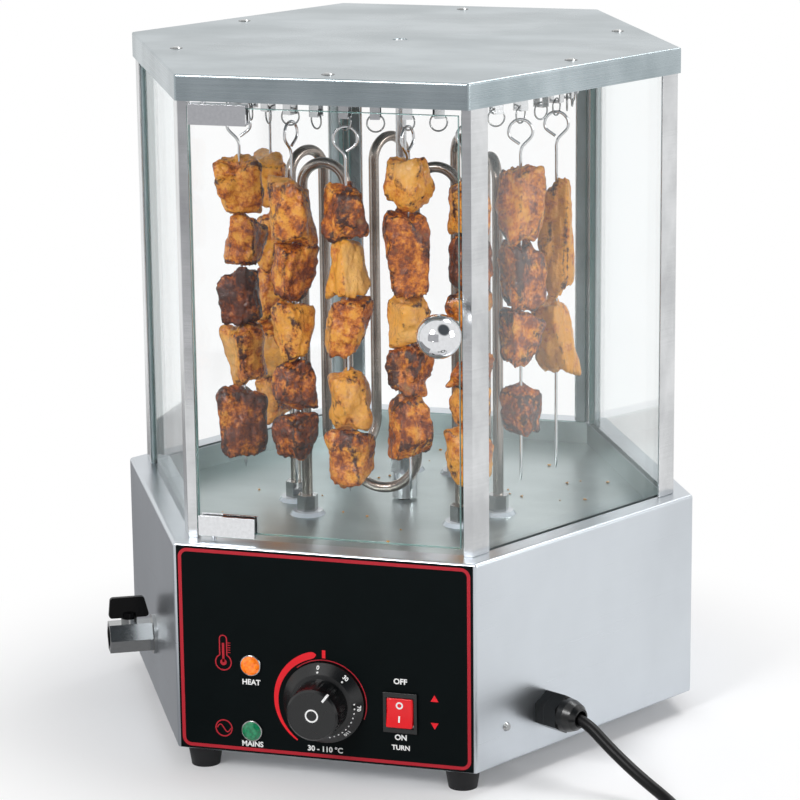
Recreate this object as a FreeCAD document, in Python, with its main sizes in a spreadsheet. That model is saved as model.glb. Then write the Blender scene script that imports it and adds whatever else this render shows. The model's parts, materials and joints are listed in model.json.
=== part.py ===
import FreeCAD
import Part
import Sketcher
import math
import os
import re

# Electric skewer grill: a hexagonal steel cabinet with a glass chamber on top.  A gear motor
# under the chamber's tray turns a carousel of rings; skewers hang from the rings and pass
# round three standing heating elements.  Millimetres, +Z up, the feet stand on z = 0.
# Everything is drawn about the carousel's axis, then moved back by half the reach of the
# thermostat knob, so that the origin is the middle of the outline on the table.

doc = FreeCAD.newDocument("SkewerGrill")
sheet = doc.addObject("Spreadsheet::Sheet", "Sizes")

SIZES = {
    # cabinet
    "front_half": 112,        # half the width of the front face
    "side_half": 224,         # from the axis to a side corner
    "depth_half": 212,        # from the axis to the front face
    "foot_height": 16,
    "foot_radius": 13,
    "foot_inset": 17,         # foot centre behind the front face
    "foot_across": 97,        # foot centre from the middle line
    "base_height": 155,
    "steel": 1,
    "base_lip": 32,           # bottom return flange
    "ledge": 20,              # top rim that carries posts and panes
    "tray_depth": 18,
    "tray_rim": 7,            # tray flange under the ledge
    # chamber
    "total_height": 506,
    "post_gap": 13,           # posts in from the flanks
    "post_front_gap": 16,     # posts in from the front and back
    "post_sheet": 1.2,
    "post_flange": 17,
    "post_front_flange": 7.3,
    "pane": 4,
    "seal": 1.8,
    "seal_width": 9,
    "pane_end_gap": 3,
    "lid_gap": 11,
    "lid_skirt": 18.5,
    "lid_hole": 6,
    "lid_screw_inset": 20,
    "frame_sheet": 1.2,
    "frame_lift": 1.5,        # frame above the lid's lower edge
    "frame_web_gap": 24,
    "frame_flange": 20,
    # door
    "door_half": 97,
    "door_glass": 4,
    "door_gap": 15.5,         # middle of the door glass behind the front face
    "door_lift": 6,
    "door_drop": 4.5,
    "pivot_inset": 11,
    "pin_radius": 1.75,
    "pin_fit": 0.05,
    "clamp_length": 42,
    "clamp_height": 14.5,
    "clamp_plate": 2.6,
    "clamp_bite": 12,
    "door_knob_radius": 15.5,
    "door_knob_inset": 8,
    "door_knob_level": 335,
    "door_knob_reach": 43,
    # control panel
    "panel_margin": 2.5,
    "panel_sheet": 1,
    "knob_level": 61,
    "knob_skirt_radius": 30,
    "knob_grip_radius": 20,
    "knob_reach": 32,
    "knob_gap": 1.2,
    "knob_flute": 1.6,
    "spindle_radius": 3,
    "spindle_fit": 0.06,
    "lamp_across": 54.7,
    "hot_lamp_level": 84,
    "power_lamp_level": 34.5,
    "lamp_radius": 7.5,
    "lamp_thread": 6,
    "rocker_across": 56.4,
    "rocker_level": 58,
    "rocker_width": 25,
    "rocker_tall": 30,
    "rocker_button_width": 19.4,
    "rocker_button_tall": 21.6,
    "rocker_lean": 7,
    # drain valve on the left flank, cable gland on the right one
    "valve_along": 114,
    "valve_level": 66,
    "valve_reach": 35,
    "valve_hex": 10.9,
    "valve_bore": 7,
    "outlet_radius": 8.2,
    "outlet_deep": 7.5,
    "pipe_radius": 9,
    "drain_inside": 45,
    "ball_radius": 9.3,
    "stem_radius": 2.6,
    "valve_fit": 0.08,
    "handle_length": 31,
    "handle_tall": 16,
    "handle_sheet": 4,
    "handle_taper": 4,        # the wing's inner end leans back by this much
    "handle_round": 2.5,
    "gland_along": 74,
    "gland_level": 46,
    "gland_hex": 12.4,
    "gland_reach": 33,
    "cord_radius": 4.25,
    "case_screw_along": 31,
    "case_screw_level": 43.6,
    "case_screw_radius": 1.6,
    # heating elements
    "heater_distance": 57.7,
    "heater_chord": 119.4,
    "heater_loop": 33.5,
    "heater_top": 426,
    "heater_dip": 173.5,
    "heater_tube": 4,
    "heater_tail": 14,
    "nut_flats": 7,
    "nut_tall": 12,
    "washer_radius": 13.5,
    "washer_tall": 3,
    # carousel
    "ring_circle": 128,
    "ring_count": 36,
    "ring_start": 8,
    "ring_radius": 6.2,
    "ring_wire": 0.6,
    "strap_level": 468.4,     # top of the web that a ring hangs on
    "strap_width": 7,
    "strap_depth": 8.6,
    "strap_web": 1.2,
    "disc_level": 476,
    "disc_sheet": 1.5,
    "disc_hub": 15,
    "disc_rim": 14,
    "spoke_width": 14,
    "shaft_radius": 4,
    "shaft_fit": 0.06,
    "socket_radius": 9.6,
    "socket_tall": 37,
    "socket_hex_tall": 15,
    "bush_radius": 14,
    "motor_radius": 30,
    "motor_tall": 32,
    "bracket_drop": 26,
    # skewers
    "skewer_wire": 1.1,
    "skewer_rest": 0.95,       # clearance between a hook and its ring
    "hook_half": 8.6,
    "hook_tall": 19,
    "skewer_length": 268,
}


def fill_sheet():
    """Writes every driving size into its own named cell."""
    for row, (name, value) in enumerate(SIZES.items(), start=1):
        sheet.set(f"A{row}", name)
        sheet.set(f"B{row}", str(value))
        sheet.setAlias(f"B{row}", name)
    doc.recompute()


fill_sheet()


def linked(text):
    """The same expression, with every size name pointing at its cell."""
    return re.sub(r"[a-z_]+", lambda word: f"Sizes.{word[0]}" if word[0] in SIZES else word[0], str(text))


def size(text):
    """Present value of an expression on the sheet."""
    found = sheet.evalExpression(str(text))
    return float(getattr(found, "Value", found))


def bind(item, prop, text):
    """Holds one property of a feature at an expression of the sheet."""
    item.setExpression(prop, linked(text))


# ---------------------------------------------------------------- places worked out once

FLANK = "sqrt((side_half - front_half)^2 + depth_half^2)"
LEDGE_TOP = "(foot_height + base_height)"
FLOOR = f"({LEDGE_TOP} - tray_depth)"
LID_EDGE = "(total_height - lid_skirt)"
FRAME_LEVEL = f"({LID_EDGE} + frame_lift)"
PIVOT_HOLE = ("-door_half + pivot_inset", "-depth_half + door_gap", "pin_radius + pin_fit")

run = size("side_half - front_half")
flank = size(FLANK)
across, along = size("depth_half") / flank, run / flank
flank_turn = math.degrees(math.atan2(size("depth_half"), run))
MIDDLE = FreeCAD.Vector(0, size("knob_reach") / 2, 0)
UP = FreeCAD.Vector(0, 0, 1)
TO_FRONT = FreeCAD.Rotation(FreeCAD.Vector(1, 0, 0), 90)
pieces = []


def corner_x(flank_gap, front_gap):
    """Half width of the front edge of the cabinet's outline, drawn in by two gaps."""
    return (f"(side_half - ({flank_gap}) * {FLANK} / depth_half"
            f" - (side_half - front_half) * (depth_half - ({front_gap})) / depth_half)")


def side_x(flank_gap):
    """Side corner of the same outline."""
    return f"(side_half - ({flank_gap}) * {FLANK} / depth_half)"


def hexagon(flank_gap, front_gap=None):
    """The cabinet's six-sided outline, drawn in by a gap at the flanks and one at the front."""
    front_gap = flank_gap if front_gap is None else front_gap
    x, y, side = corner_x(flank_gap, front_gap), f"(depth_half - ({front_gap}))", side_x(flank_gap)
    return [(f"-{x}", f"-{y}"), (x, f"-{y}"), (side, "0"), (x, y), (f"-{x}", y), (f"-{side}", "0")]


def rectangle(x_low, x_high, y_low, y_high):
    return [(x_low, y_low), (x_high, y_low), (x_high, y_high), (x_low, y_high)]


def flank_spot(side, distance, out, level):
    """A point on a front flank: side -1 left or 1 right, distance from its front edge."""
    x = size("front_half") + distance * along + out * across
    y = -size("depth_half") + distance * across - out * along
    return FreeCAD.Vector(side * x, y, level)


def flank_rotation(side):
    """Turns +Z to a front flank's outward normal, with +Y up."""
    return FreeCAD.Rotation(UP, side * flank_turn).multiply(TO_FRONT)


# ---------------------------------------------------------------- drawing helpers

def new_body(label):
    return doc.addObject("PartDesign::Body", label)


def new_sketch(body, name, plane="XY_Plane", level="0"):
    """A sketch on one of the body's own planes, lifted along the plane's normal."""
    drawing = body.newObject("Sketcher::SketchObject", name)
    drawing.AttachmentSupport = [(next(f for f in body.Origin.OriginFeatures if f.Role == plane), "")]
    drawing.MapMode = "FlatFace"
    bind(drawing, "AttachmentOffset.Base.z", level)
    return drawing


def hold(drawing, kind, geometry, point, text):
    """Holds one coordinate of a sketch point, or a radius, at an expression."""
    if kind == "Radius":
        rule = Sketcher.Constraint(kind, geometry, size(text))
    else:
        rule = Sketcher.Constraint(kind, -1, 1, geometry, point, size(text))
    index = drawing.addConstraint(rule)
    drawing.setExpression(f"Constraints[{index}]", linked(text))


def add_polygon(drawing, corners):
    """A closed outline whose corners are all held by the sheet."""
    spots = [FreeCAD.Vector(size(x), size(y), 0) for x, y in corners]
    first = drawing.GeometryCount
    for spot, after in zip(spots, spots[1:] + spots[:1]):
        drawing.addGeometry(Part.LineSegment(spot, after), False)
    for number, (x, y) in enumerate(corners):
        line, after = first + number, first + (number + 1) % len(corners)
        drawing.addConstraint(Sketcher.Constraint("Coincident", line, 2, after, 1))
        hold(drawing, "DistanceX", line, 1, x)
        hold(drawing, "DistanceY", line, 1, y)


def add_circle(drawing, x, y, radius):
    middle = FreeCAD.Vector(size(x), size(y), 0)
    index = drawing.addGeometry(Part.Circle(middle, FreeCAD.Vector(0, 0, 1), size(radius)), False)
    hold(drawing, "DistanceX", index, 3, x)
    hold(drawing, "DistanceY", index, 3, y)
    hold(drawing, "Radius", index, 0, radius)


def feature(body, kind, name, drawing, length, backwards=False):
    """A pad or a pocket of one sketch."""
    item = body.newObject(f"PartDesign::{kind}", name)
    item.Profile = drawing
    bind(item, "Length", length)
    item.Reversed = backwards
    drawing.Visibility = False
    return item


def pad_polygon(body, name, corners, level, height, plane="XY_Plane"):
    drawing = new_sketch(body, name + "_outline", plane, level)
    add_polygon(drawing, corners)
    return feature(body, "Pad", name, drawing, height)


def cut_polygon(body, name, corners, level, depth, plane="XY_Plane"):
    """A pocket that starts at a level and goes against the plane's normal."""
    drawing = new_sketch(body, name + "_outline", plane, level)
    add_polygon(drawing, corners)
    return feature(body, "Pocket", name, drawing, depth)


def cut_circles(body, name, circles, level, depth, plane="XY_Plane"):
    drawing = new_sketch(body, name + "_holes", plane, level)
    for x, y, radius in circles:
        add_circle(drawing, x, y, radius)
    return feature(body, "Pocket", name, drawing, depth)


def pad_circles(body, name, circles, level, height, plane="XY_Plane"):
    drawing = new_sketch(body, name + "_circles", plane, level)
    for x, y, radius in circles:
        add_circle(drawing, x, y, radius)
    return feature(body, "Pad", name, drawing, height)


def turn_profile(body, name, corners, kind="Revolution"):
    """A full turn of a closed (radius, height) outline about the body's Z axis."""
    drawing = new_sketch(body, name + "_profile", "XZ_Plane")
    add_polygon(drawing, corners)
    item = body.newObject(f"PartDesign::{kind}", name)
    item.Profile = drawing
    item.ReferenceAxis = (drawing, ["V_Axis"])
    item.Angle = 360
    return item


def bore(body, name, spot, rotation, radius, height):
    """A round hole with any direction, drilled by a cylinder that starts at a spot."""
    tool = body.newObject("PartDesign::SubtractiveCylinder", name)
    bind(tool, "Radius", radius)
    bind(tool, "Height", height)
    tool.Placement = FreeCAD.Placement(spot, rotation)
    return tool


def prism_corners(flats, sides=6, first=0.5):
    """Corners of a regular polygon, given its distance to a flat; the first one in parts of a side."""
    reach = f"({flats}) / {math.cos(math.pi / sides):.9f}"
    turns = [2 * math.pi * (number + first) / sides for number in range(sides)]
    return [(f"{reach} * {math.cos(turn):.9f}", f"{reach} * {math.sin(turn):.9f}") for turn in turns]


def place(item, spot=(0, 0, 0), rotation=FreeCAD.Rotation()):
    """Stands a finished sub-part in the part's frame and lists it for export."""
    item.Placement = FreeCAD.Placement(FreeCAD.Vector(*spot) + MIDDLE, rotation)
    pieces.append(item)
    return item


def solid_piece(label, shape):
    """A sub-part whose form no sketch feature makes: its shape is worked out here."""
    item = doc.addObject("Part::Feature", label)
    item.Shape = shape
    return place(item, shape.Placement.Base, shape.Placement.Rotation)


def copies(label, pattern, places):
    """Identical pieces in one node: the pattern's shape at each placement."""
    doc.recompute()
    shapes = []
    for spot, rotation in places:
        shape = pattern.Shape.copy()
        shape.Placement = FreeCAD.Placement(FreeCAD.Vector(*spot), rotation)
        shapes.append(shape)
    return solid_piece(label, Part.makeCompound(shapes))


def polar(radius, degrees, level=0):
    angle = math.radians(degrees)
    return FreeCAD.Vector(radius * math.cos(angle), radius * math.sin(angle), level)


def about_z(degrees):
    return FreeCAD.Rotation(UP, degrees)


def swept_tube(spine, radius):
    """A round bar along a wire of lines and tangent arcs: a cylinder or a turned disc per run."""
    runs = []
    for edge in spine.OrderedEdges:
        start = edge.valueAt(edge.FirstParameter)
        way = edge.tangentAt(edge.FirstParameter)
        disc = Part.Face(Part.Wire(Part.makeCircle(radius, start, way)))
        if isinstance(edge.Curve, Part.Line):
            runs.append(disc.extrude(way * edge.Length))
        else:
            bend = edge.Curve
            axis = (start - bend.Center).cross(way)
            runs.append(disc.revolve(bend.Center, axis, math.degrees(edge.Length / bend.Radius)))
    return runs[0].fuse(runs[1:])


def rounded_path(points, radii=None):
    """Straight runs joined by tangent arcs.  Without radii, each arc is as large as 0.45 of its
    shorter run allows; the first and last points are the ends."""
    edges, start, found = [], points[0], []
    for number in range(1, len(points) - 1):
        before, here, after = points[number - 1:number + 2]
        came, goes = (here - before), (after - here)
        turn = came.getAngle(goes)
        back = 0.45 * min(came.Length, goes.Length)
        radius = back / math.tan(turn / 2) if radii is None else radii[number - 1]
        back = radius * math.tan(turn / 2)
        came.normalize()
        goes.normalize()
        enter, leave = here - came * back, here + goes * back
        inward = goes - came
        inward.normalize()
        middle = here + inward * (radius / math.cos(turn / 2) - radius)
        edges.append(Part.makeLine(start, enter))
        edges.append(Part.Arc(enter, middle, leave).toShape())
        start = leave
        found.append(radius)
    edges.append(Part.makeLine(start, points[-1]))
    return Part.Wire(edges), found


# ---------------------------------------------------------------- cabinet

def make_base_shell():
    """Bent steel skirt with a ledge at the top and a return flange at the bottom."""
    body = new_body("base_shell")
    pad_polygon(body, "skirt", hexagon("0"), "foot_height", "base_height")
    inside = "base_height - 2 * steel"
    cut_polygon(body, "hollow", hexagon("steel"), f"{LEDGE_TOP} - steel", inside)
    doc.recompute()
    cut_polygon(body, "top_opening", hexagon("ledge"), LEDGE_TOP, "steel * 2")
    cut_polygon(body, "bottom_opening", hexagon("base_lip"), "foot_height + steel * 2", "steel * 3")
    front = "depth_half + steel"
    circles = [("0", "knob_level", "spindle_radius + 3.2"),
               ("-lamp_across", "hot_lamp_level", "lamp_thread + 0.2"),
               ("-lamp_across", "power_lamp_level", "lamp_thread + 0.2")]
    cut_circles(body, "front_holes", circles, front, "steel * 4", "XZ_Plane")
    cut_polygon(body, "rocker_window", rocker_window(), front, "steel * 4", "XZ_Plane")
    cut_circles(body, "pivot_hole", [PIVOT_HOLE], f"{LEDGE_TOP} + steel", "steel * 4")
    gland = flank_spot(1, size("gland_along"), -3 * size("steel"), size("gland_level"))
    bore(body, "gland_hole", gland, flank_rotation(1), "cord_radius + 4", "steel * 6")
    screw = flank_spot(1, size("case_screw_along"), -3 * size("steel"), size("case_screw_level"))
    bore(body, "screw_hole", screw, flank_rotation(1), "case_screw_radius", "steel * 6")
    drain = flank_spot(-1, size("valve_along"), -3 * size("steel"), size("valve_level"))
    bore(body, "drain_hole", drain, flank_rotation(-1), "pipe_radius + 0.3", "steel * 6")
    return place(body)


def rocker_window():
    """Opening in front skin and panel for the rocker switch's body."""
    half_wide, half_tall = "(rocker_width / 2 - 1.6)", "(rocker_tall / 2 - 1.6)"
    return rectangle(f"rocker_across - {half_wide}", f"rocker_across + {half_wide}",
                     f"rocker_level - {half_tall}", f"rocker_level + {half_tall}")


def make_base_bottom():
    """Closing plate with vent slots, lying on the return flange."""
    body = new_body("base_bottom")
    level = "foot_height + steel"
    pad_polygon(body, "plate", hexagon("steel + 0.5"), level, "steel")
    slot_half, slot_long = 3, 45
    for number in range(-4, 5):
        x = number * 16
        slot = rectangle(f"{x - slot_half}", f"{x + slot_half}", f"{-slot_long}", f"{slot_long}")
        cut_polygon(body, f"vent_{number + 5}", slot, f"{level} + steel * 2", "steel * 4")
    return place(body)


def make_tray():
    """Drip tray: a pan hung under the ledge, with holes for legs, spindle and drain."""
    body = new_body("tray")
    rim_level = f"{LEDGE_TOP} - steel * 2"
    pad_polygon(body, "rim", hexagon("ledge - tray_rim - steel"), rim_level, "steel")
    pan_tall = "tray_depth"
    pad_polygon(body, "pan", hexagon("ledge - steel"), f"{FLOOR} - steel", pan_tall)
    cut_polygon(body, "well", hexagon("ledge"), f"{LEDGE_TOP} + steel", "tray_depth + steel")
    holes = [("0", "0", "shaft_radius + 2")]
    for leg in leg_spots():
        holes.append((f"{leg.x:.6f}", f"{leg.y:.6f}", "heater_tube + 0.3"))
    drain = drain_spot()
    holes.append((f"{drain.x:.6f}", f"{drain.y:.6f}", "pipe_radius + 0.05"))
    cut_circles(body, "floor_holes", holes, f"{FLOOR} + steel", "steel * 4")
    cut_circles(body, "pivot_hole", [PIVOT_HOLE], LEDGE_TOP, "steel * 4")
    return place(body)


def heater_turns():
    """The three elements face the front, the back left and the back right."""
    return [-90, 150, 30]


def leg_spots():
    """Where the six heater legs pass through the tray."""
    spots = []
    for turn in heater_turns():
        for sign in (-1, 1):
            local = FreeCAD.Vector(size("heater_distance"), sign * size("heater_chord") / 2, 0)
            spots.append(about_z(turn).multVec(local))
    return spots


def drain_spot():
    return flank_spot(-1, size("valve_along"), -size("drain_inside"), 0)


def make_feet():
    """Four tapered rubber feet under the return flange."""
    pattern = new_body("foot_form")
    top = "foot_height"
    outline = [("0", "0"), ("foot_radius * 0.8", "0"), ("foot_radius", top), ("0", top)]
    turn_profile(pattern, "foot", outline)
    y = size("depth_half - foot_inset")
    places = [((sx * size("foot_across"), sy * y, 0), FreeCAD.Rotation()) for sx in (-1, 1) for sy in (-1, 1)]
    return copies("rubber_feet", pattern, places)


def screw_form(name, head, tall, shank, deep):
    """Pan-head screw: head above z = 0 and a plain shank below it."""
    body = new_body(name)
    outline = [("0", f"-{deep}"), (f"{shank}", f"-{deep}"), (f"{shank}", "0"), (f"{head}", "0"),
               (f"{head} * 0.7", f"{tall}"), ("0", f"{tall}")]
    turn_profile(body, name + "_turned", outline)
    return body


def make_case_screws():
    """The screw on the right flank that holds the cord clamp."""
    pattern = screw_form("case_screw_form", 3.4, 2, "case_screw_radius", 5)
    spot = flank_spot(1, size("case_screw_along"), 0, size("case_screw_level"))
    return copies("case_screws", pattern, [(spot, flank_rotation(1))])


def lid_screw_spots():
    """Middle of each lid side, a fixed distance in from its edge."""
    inset = size("lid_gap + lid_screw_inset")
    level = size("total_height - steel")
    front = size("depth_half") - inset
    side = size("side_half") * across - inset
    spots = [FreeCAD.Vector(0, -front, level), FreeCAD.Vector(0, front, level)]
    for x_sign in (-1, 1):
        for y_sign in (-1, 1):
            spots.append(FreeCAD.Vector(x_sign * side * across, y_sign * side * along, level))
    return spots


def make_lid():
    """Folded lid with a hole for the upper bush and one hole per screw."""
    body = new_body("lid")
    pad_polygon(body, "cap", hexagon("lid_gap"), LID_EDGE, "lid_skirt")
    drawing = new_sketch(body, "inside_outline", "XY_Plane", LID_EDGE)
    add_polygon(drawing, hexagon("lid_gap + steel"))
    feature(body, "Pocket", "inside", drawing, "lid_skirt - steel", backwards=True)
    holes = [("0", "0", "lid_hole")]
    holes += [(f"{spot.x:.6f}", f"{spot.y:.6f}", "1.8") for spot in lid_screw_spots()]
    cut_circles(body, "holes", holes, "total_height + steel", "steel * 3")
    return place(body)


def make_lid_screws():
    pattern = screw_form("lid_screw_form", 3.6, 1, 1.7, 6)
    top = FreeCAD.Vector(0, 0, size("steel"))
    return copies("lid_screws", pattern, [(spot + top, FreeCAD.Rotation()) for spot in lid_screw_spots()])


def make_top_frame():
    """Z-section ring that ties the post heads and takes the lid's screws."""
    body = new_body("top_frame")
    pad_polygon(body, "foot_flange", hexagon("post_gap + post_sheet", "post_front_gap + post_sheet"),
                FRAME_LEVEL, "frame_sheet")
    web_tall = f"total_height - steel - {FRAME_LEVEL}"
    pad_polygon(body, "web", hexagon("frame_web_gap"), FRAME_LEVEL, web_tall)
    ear = rectangle("-door_half + 3", "door_half - 3", "-depth_half + lid_gap + steel + 0.5",
                    "-depth_half + frame_web_gap")
    pad_polygon(body, "door_ear", ear, FRAME_LEVEL, "frame_sheet")
    cut_polygon(body, "hollow", hexagon("frame_web_gap + frame_sheet"),
                "total_height - steel - frame_sheet", web_tall)
    cut_polygon(body, "opening", hexagon("frame_web_gap + frame_flange"), "total_height", "steel * 6")
    edge = f"({corner_x('post_gap', 'post_front_gap')} - post_front_flange)"
    deep = "-depth_half + post_front_gap + post_front_flange + 0.2"
    for side, sign in (("left", "-1"), ("right", "1")):
        near, far = f"{sign} * ({edge} - 0.2)", f"{sign} * ({edge} + post_sheet + 0.2)"
        notch = rectangle(near, far, "-depth_half", deep)
        cut_polygon(body, f"{side}_notch", notch, f"{FRAME_LEVEL} + 3", "6")
    cut_circles(body, "pivot_hole", [PIVOT_HOLE], f"{FRAME_LEVEL} + 3", "6")
    holes = [(f"{spot.x:.6f}", f"{spot.y:.6f}", "1.7") for spot in lid_screw_spots()]
    cut_circles(body, "screw_holes", holes, "total_height", "steel * 4")
    return place(body)


# ---------------------------------------------------------------- glass chamber

def post_corner(x_sign, y_sign, front):
    """Section of a post at a front or back corner: two flanges, and by the door an edge return."""
    gap, front_gap, sheet_in = "post_gap", "post_front_gap", "post_sheet"
    x, y = corner_x(gap, front_gap), f"(depth_half - {front_gap})"
    x_in = corner_x(f"{gap} + {sheet_in}", f"{front_gap} + {sheet_in}")
    y_in = f"({y} - {sheet_in})"
    flank_x, flank_y = "(side_half - front_half) / " + FLANK, f"depth_half / {FLANK}"
    far_x, far_y = f"({x} + post_flange * {flank_x})", f"({y} - post_flange * {flank_y})"
    far_in_x, far_in_y = f"({far_x} - {sheet_in} * {flank_y})", f"({far_y} - {sheet_in} * {flank_x})"
    edge = f"({x} - post_front_flange)" if front else f"({x} - post_flange)"
    outline = [(x, y), (far_x, far_y), (far_in_x, far_in_y), (x_in, y_in)]
    if front:
        deep = f"({y} - post_front_flange)"
        edge_in = f"({edge} + {sheet_in})"
        outline += [(edge_in, y_in), (edge_in, deep), (edge, deep), (edge, y)]
    else:
        outline += [(edge, y_in), (edge, y)]
    signed = [(f"{x_sign} * {px}", f"{y_sign} * {py}") for px, py in outline]
    return signed


def post_side(x_sign):
    """Section of a post at a side corner, with two equal flanges."""
    tip, tip_in = side_x("post_gap"), side_x("post_gap + post_sheet")
    flank_x, flank_y = "(side_half - front_half) / " + FLANK, f"depth_half / {FLANK}"
    far_x, far_y = f"({tip} - post_flange * {flank_x})", f"(post_flange * {flank_y})"
    far_in_x, far_in_y = f"({far_x} - post_sheet * {flank_y})", f"({far_y} - post_sheet * {flank_x})"
    outline = [(tip, "0"), (far_x, far_y), (far_in_x, far_in_y), (tip_in, "0"),
               (far_in_x, f"-{far_in_y}"), (far_x, f"-{far_y}")]
    return [(f"{x_sign} * {px}", py) for px, py in outline]


def make_posts():
    """Six folded corner posts from the ledge to the lid."""
    sections = [post_corner(sx, sy, sy < 0) for sx in (-1, 1) for sy in (-1, 1)]
    sections += [post_side(sx) for sx in (-1, 1)]
    tall = f"total_height - steel - {LEDGE_TOP}"
    shapes = []
    for number, section in enumerate(sections):
        body = new_body(f"post_form_{number + 1}")
        pad_polygon(body, f"post_{number + 1}", section, LEDGE_TOP, tall)
        shapes.append(body)
    doc.recompute()
    return solid_piece("corner_posts", Part.makeCompound([body.Shape.copy() for body in shapes]))


def pane_form(name, length, thick, level, height):
    """Flat pane standing on XY with its outer face at y = -thick."""
    box = doc.addObject("Part::Box", name)
    bind(box, "Length", length)
    bind(box, "Width", thick)
    bind(box, "Height", height)
    doc.recompute()
    shape = box.Shape.copy()
    shape.translate(FreeCAD.Vector(-size(length) / 2, -size(thick), size(level)))
    return shape


def flank_places(gap, front_gap):
    """Middle of each flank of a drawn-in outline, with the turn that faces it outwards."""
    x = (size(corner_x(gap, front_gap)) + size(side_x(gap))) / 2
    y = size(f"(depth_half - ({front_gap})) / 2")
    return [(FreeCAD.Vector(sx * x, sy * y, 0), -sy * sx * flank_turn + (180 if sy > 0 else 0))
            for sx in (-1, 1) for sy in (-1, 1)]


def standing(shape, spot, turn):
    item = shape.copy()
    item.rotate(FreeCAD.Vector(0, 0, 0), UP, turn)
    item.translate(spot)
    return item


PANE_GAP = "(post_gap + post_sheet + seal)"
PANE_FRONT_GAP = "(post_front_gap + post_sheet + seal)"
PANE_TALL = f"({FRAME_LEVEL} - 0.3 - {LEDGE_TOP})"


def make_flank_glass():
    """Four panes, one on each flank, standing on the ledge inside the posts."""
    inner, inner_front = f"{PANE_GAP} + pane", f"{PANE_FRONT_GAP} + pane"
    length = f"(depth_half - ({inner_front})) * {FLANK} / depth_half - 2 * pane_end_gap"
    form = pane_form("flank_pane_form", length, "pane", LEDGE_TOP, PANE_TALL)
    panes = [standing(form, spot, turn) for spot, turn in flank_places(inner, inner_front)]
    return solid_piece("flank_glass", Part.makeCompound(panes))


def make_back_glass():
    inner_front = f"({PANE_FRONT_GAP} + pane)"
    length = f"2 * {corner_x(PANE_GAP + ' + pane', inner_front)} - 2 * pane_end_gap"
    form = pane_form("back_pane_form", length, "pane", LEDGE_TOP, PANE_TALL)
    y = size(f"depth_half - {inner_front}")
    return solid_piece("back_glass", standing(form, FreeCAD.Vector(0, y, 0), 180))


def make_seals():
    """Rubber strips between each post flange and its pane."""
    strips = []
    gap, front_gap = "post_gap + post_sheet + seal", "post_front_gap + post_sheet + seal"
    form = pane_form("seal_form", "seal_width", "seal", LEDGE_TOP, PANE_TALL)
    reach = size(f"(depth_half - ({front_gap})) * {FLANK} / depth_half / 2")
    slide = reach - size("seal_width / 2 + 4.5")
    for spot, turn in flank_places(gap, front_gap):
        for sign in (-1, 1):
            shift = about_z(turn).multVec(FreeCAD.Vector(sign * slide, 0, 0))
            strips.append(standing(form, spot + shift, turn))
    back_x = size(corner_x(gap, front_gap)) - size("seal_width / 2 + 4.5")
    for sign in (-1, 1):
        spot = FreeCAD.Vector(sign * back_x, size(f"depth_half - ({front_gap})"), 0)
        strips.append(standing(form, spot, 180))
    return solid_piece("glass_seals", Part.makeCompound(strips))


# ---------------------------------------------------------------- door

DOOR_BOTTOM = f"({LEDGE_TOP} + door_lift)"
DOOR_TOP = f"({LID_EDGE} - door_drop)"
DOOR_Y = "(-depth_half + door_gap)"


def make_door_glass():
    """Frameless door of clear glass with a hole for the knob's screw."""
    body = new_body("door_glass")
    outline = rectangle("-door_half", "door_half", DOOR_BOTTOM, DOOR_TOP)
    pad_polygon(body, "pane", outline, "depth_half - door_gap - door_glass / 2", "door_glass", "XZ_Plane")
    knob = ("door_half - door_knob_inset", "door_knob_level", "3.2")
    cut_circles(body, "knob_hole", [knob], "depth_half", "depth_half", "XZ_Plane")
    return place(body)


def clamp_shape(pin_up):
    """A clamp bent round the glass edge, with its pivot pin, drawn with the pin's base at z = 0."""
    body = new_body("clamp_top_form" if pin_up else "clamp_bottom_form")
    half = "(door_glass / 2 + clamp_plate)"
    start = "-pivot_inset + 1"
    block = rectangle(start, f"{start} + clamp_length", f"-{half}", half)
    pad_polygon(body, "block", block, "-clamp_height", "clamp_height")
    slot = rectangle(f"{start} - 1", f"{start} + clamp_length + 1", "-door_glass / 2", "door_glass / 2")
    cut_polygon(body, "slot", slot, "-clamp_height + clamp_bite", "clamp_bite + 1")
    pin_length = f"{FRAME_LEVEL} + frame_sheet + 1.5 - {DOOR_TOP} - clamp_height + clamp_bite" if pin_up \
        else f"door_lift - clamp_height + clamp_bite + steel + 0.8"
    pad_circles(body, "pin", [("0", "0", "pin_radius")], "0", pin_length)
    doc.recompute()
    return body.Shape.copy()


def make_door_hinges():
    """Two clamps on the door's left edge; their pins turn in the ledge and in the top frame."""
    x, y = size("-door_half + pivot_inset"), size(DOOR_Y)
    cover = size("clamp_height - clamp_bite")
    top = clamp_shape(True)
    top.translate(FreeCAD.Vector(x, y, size(DOOR_TOP) + cover))
    bottom = clamp_shape(False)
    bottom.rotate(FreeCAD.Vector(0, 0, 0), FreeCAD.Vector(1, 0, 0), 180)
    bottom.translate(FreeCAD.Vector(x, y, size(DOOR_BOTTOM) - cover))
    return solid_piece("door_hinges", Part.makeCompound([top, bottom]))


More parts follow.
